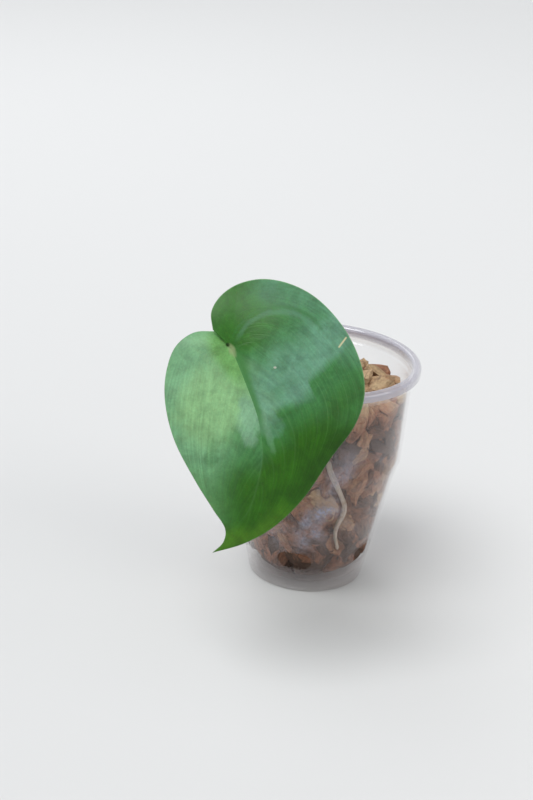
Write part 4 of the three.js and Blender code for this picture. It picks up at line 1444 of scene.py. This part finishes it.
class SCINDAPSUS_OT_stage(bpy.types.Operator):
    """Pale floor, soft studio lights and the camera"""

    bl_idname = "scindapsus.stage"
    bl_label = "Stage"

    def execute(self, context):
        settings = context.scene.scindapsus.stage
        floor = self.make_floor()
        floor.data.materials.append(plain_floor(settings))
        self.make_sky(context.scene, settings)
        for name, (kind, place, size, color) in LIGHTS.items():
            self.make_light(name, kind, place, settings.key if kind == "SUN" else settings.fill, size, color)
        self.make_camera(context.scene)
        return {"FINISHED"}

    def make_floor(self):
        """A net just below the cup's foot, flat round the plant and swept up far behind it on all sides:
        height = rise · (3t² - 2t³), with t the distance's share between flat and reach."""
        side = np.linspace(-FLOOR_REACH, FLOOR_REACH, FLOOR_STEPS + 1)
        x, y = np.meshgrid(side, side)
        height = FLOOR_RISE * smoothstep(np.hypot(x, y), FLOOR_FLAT, FLOOR_REACH) - FLOOR_GAP
        net = np.stack([x, y, height], axis=-1)
        mesh = bpy.data.meshes.new("floor")
        faces = net_faces(*x.shape, closed=False)
        mesh.from_pydata((net.reshape(-1, 3) * MM).tolist(), [], faces.tolist())
        mesh.shade_smooth()
        return placed("floor", mesh)

    def make_sky(self, scene, settings):
        world = bpy.data.worlds.new("even_light")
        world.use_nodes = True
        background = world.node_tree.nodes["Background"]
        background.inputs["Color"].default_value = (*SKY_COLOR, 1)
        background.inputs["Strength"].default_value = settings.sky
        scene.world = world
        scene.view_settings.view_transform = "Standard"

    def make_light(self, name, kind, place, power, size, color):
        """A soft light at a place, turned to the plant: a distant one that is size degrees wide, or a square
        one with a side of size mm."""
        light = bpy.data.lights.new(name, kind)
        if kind == "SUN":
            light.angle = math.radians(size)
        else:
            light.size = size * MM
        light.energy = power
        light.color = color
        back = Vector(place) - Vector(LIGHT_TARGET)
        self.stand(placed(name, light), place, back.to_track_quat("Z", "Y").to_matrix())

    def make_camera(self, scene):
        camera = bpy.data.cameras.new("camera")
        camera.lens = LENS
        camera.sensor_width = SENSOR
        camera.clip_start = 0.01
        camera.clip_end = 20
        tilt = Matrix.Rotation(math.radians(90 - CAMERA_DOWN), 3, "X")
        roll = Matrix.Rotation(math.radians(CAMERA_ROLL), 3, "Z")
        scene.camera = placed("camera", camera)
        self.stand(scene.camera, CAMERA_PLACE, tilt @ roll)

    def stand(self, item, place, turn):
        """Puts a light or the camera at a place, turned by a matrix."""
        item.matrix_world = Matrix.Translation((place + AXIS) * MM) @ turn.to_4x4()


STEPS = ("cup", "mix", "stem", "petiole", "leaf", "stage")


class SCINDAPSUS_PT_panel(bpy.types.Panel):
    """The pieces of the plant and their settings"""

    bl_idname = "SCINDAPSUS_PT_panel"
    bl_label = "Potted scindapsus"
    bl_space_type = "VIEW_3D"
    bl_region_type = "UI"
    bl_category = "Scindapsus"

    def draw(self, context):
        for step in STEPS:
            box = self.layout.box()
            box.operator(f"scindapsus.{step}")
            group = getattr(context.scene.scindapsus, step)
            for name in group.bl_rna.properties.keys():
                if name not in ("rna_type", "name"):
                    box.prop(group, name)


CLASSES = (
    ScindapsusCupSettings,
    ScindapsusMixSettings,
    ScindapsusStemSettings,
    ScindapsusPetioleSettings,
    ScindapsusLeafSettings,
    ScindapsusStageSettings,
    ScindapsusSettings,
    SCINDAPSUS_OT_cup,
    SCINDAPSUS_OT_mix,
    SCINDAPSUS_OT_stem,
    SCINDAPSUS_OT_petiole,
    SCINDAPSUS_OT_leaf,
    SCINDAPSUS_OT_stage,
    SCINDAPSUS_PT_panel,
)


def register():
    for item in CLASSES:
        bpy.utils.register_class(item)
    bpy.types.Scene.scindapsus = PointerProperty(type=ScindapsusSettings)


def unregister():
    del bpy.types.Scene.scindapsus
    for item in reversed(CLASSES):
        bpy.utils.unregister_class(item)


def main():
    register()
    for step in STEPS:
        getattr(bpy.ops.scindapsus, step)()


if __name__ == "__main__":
    main()
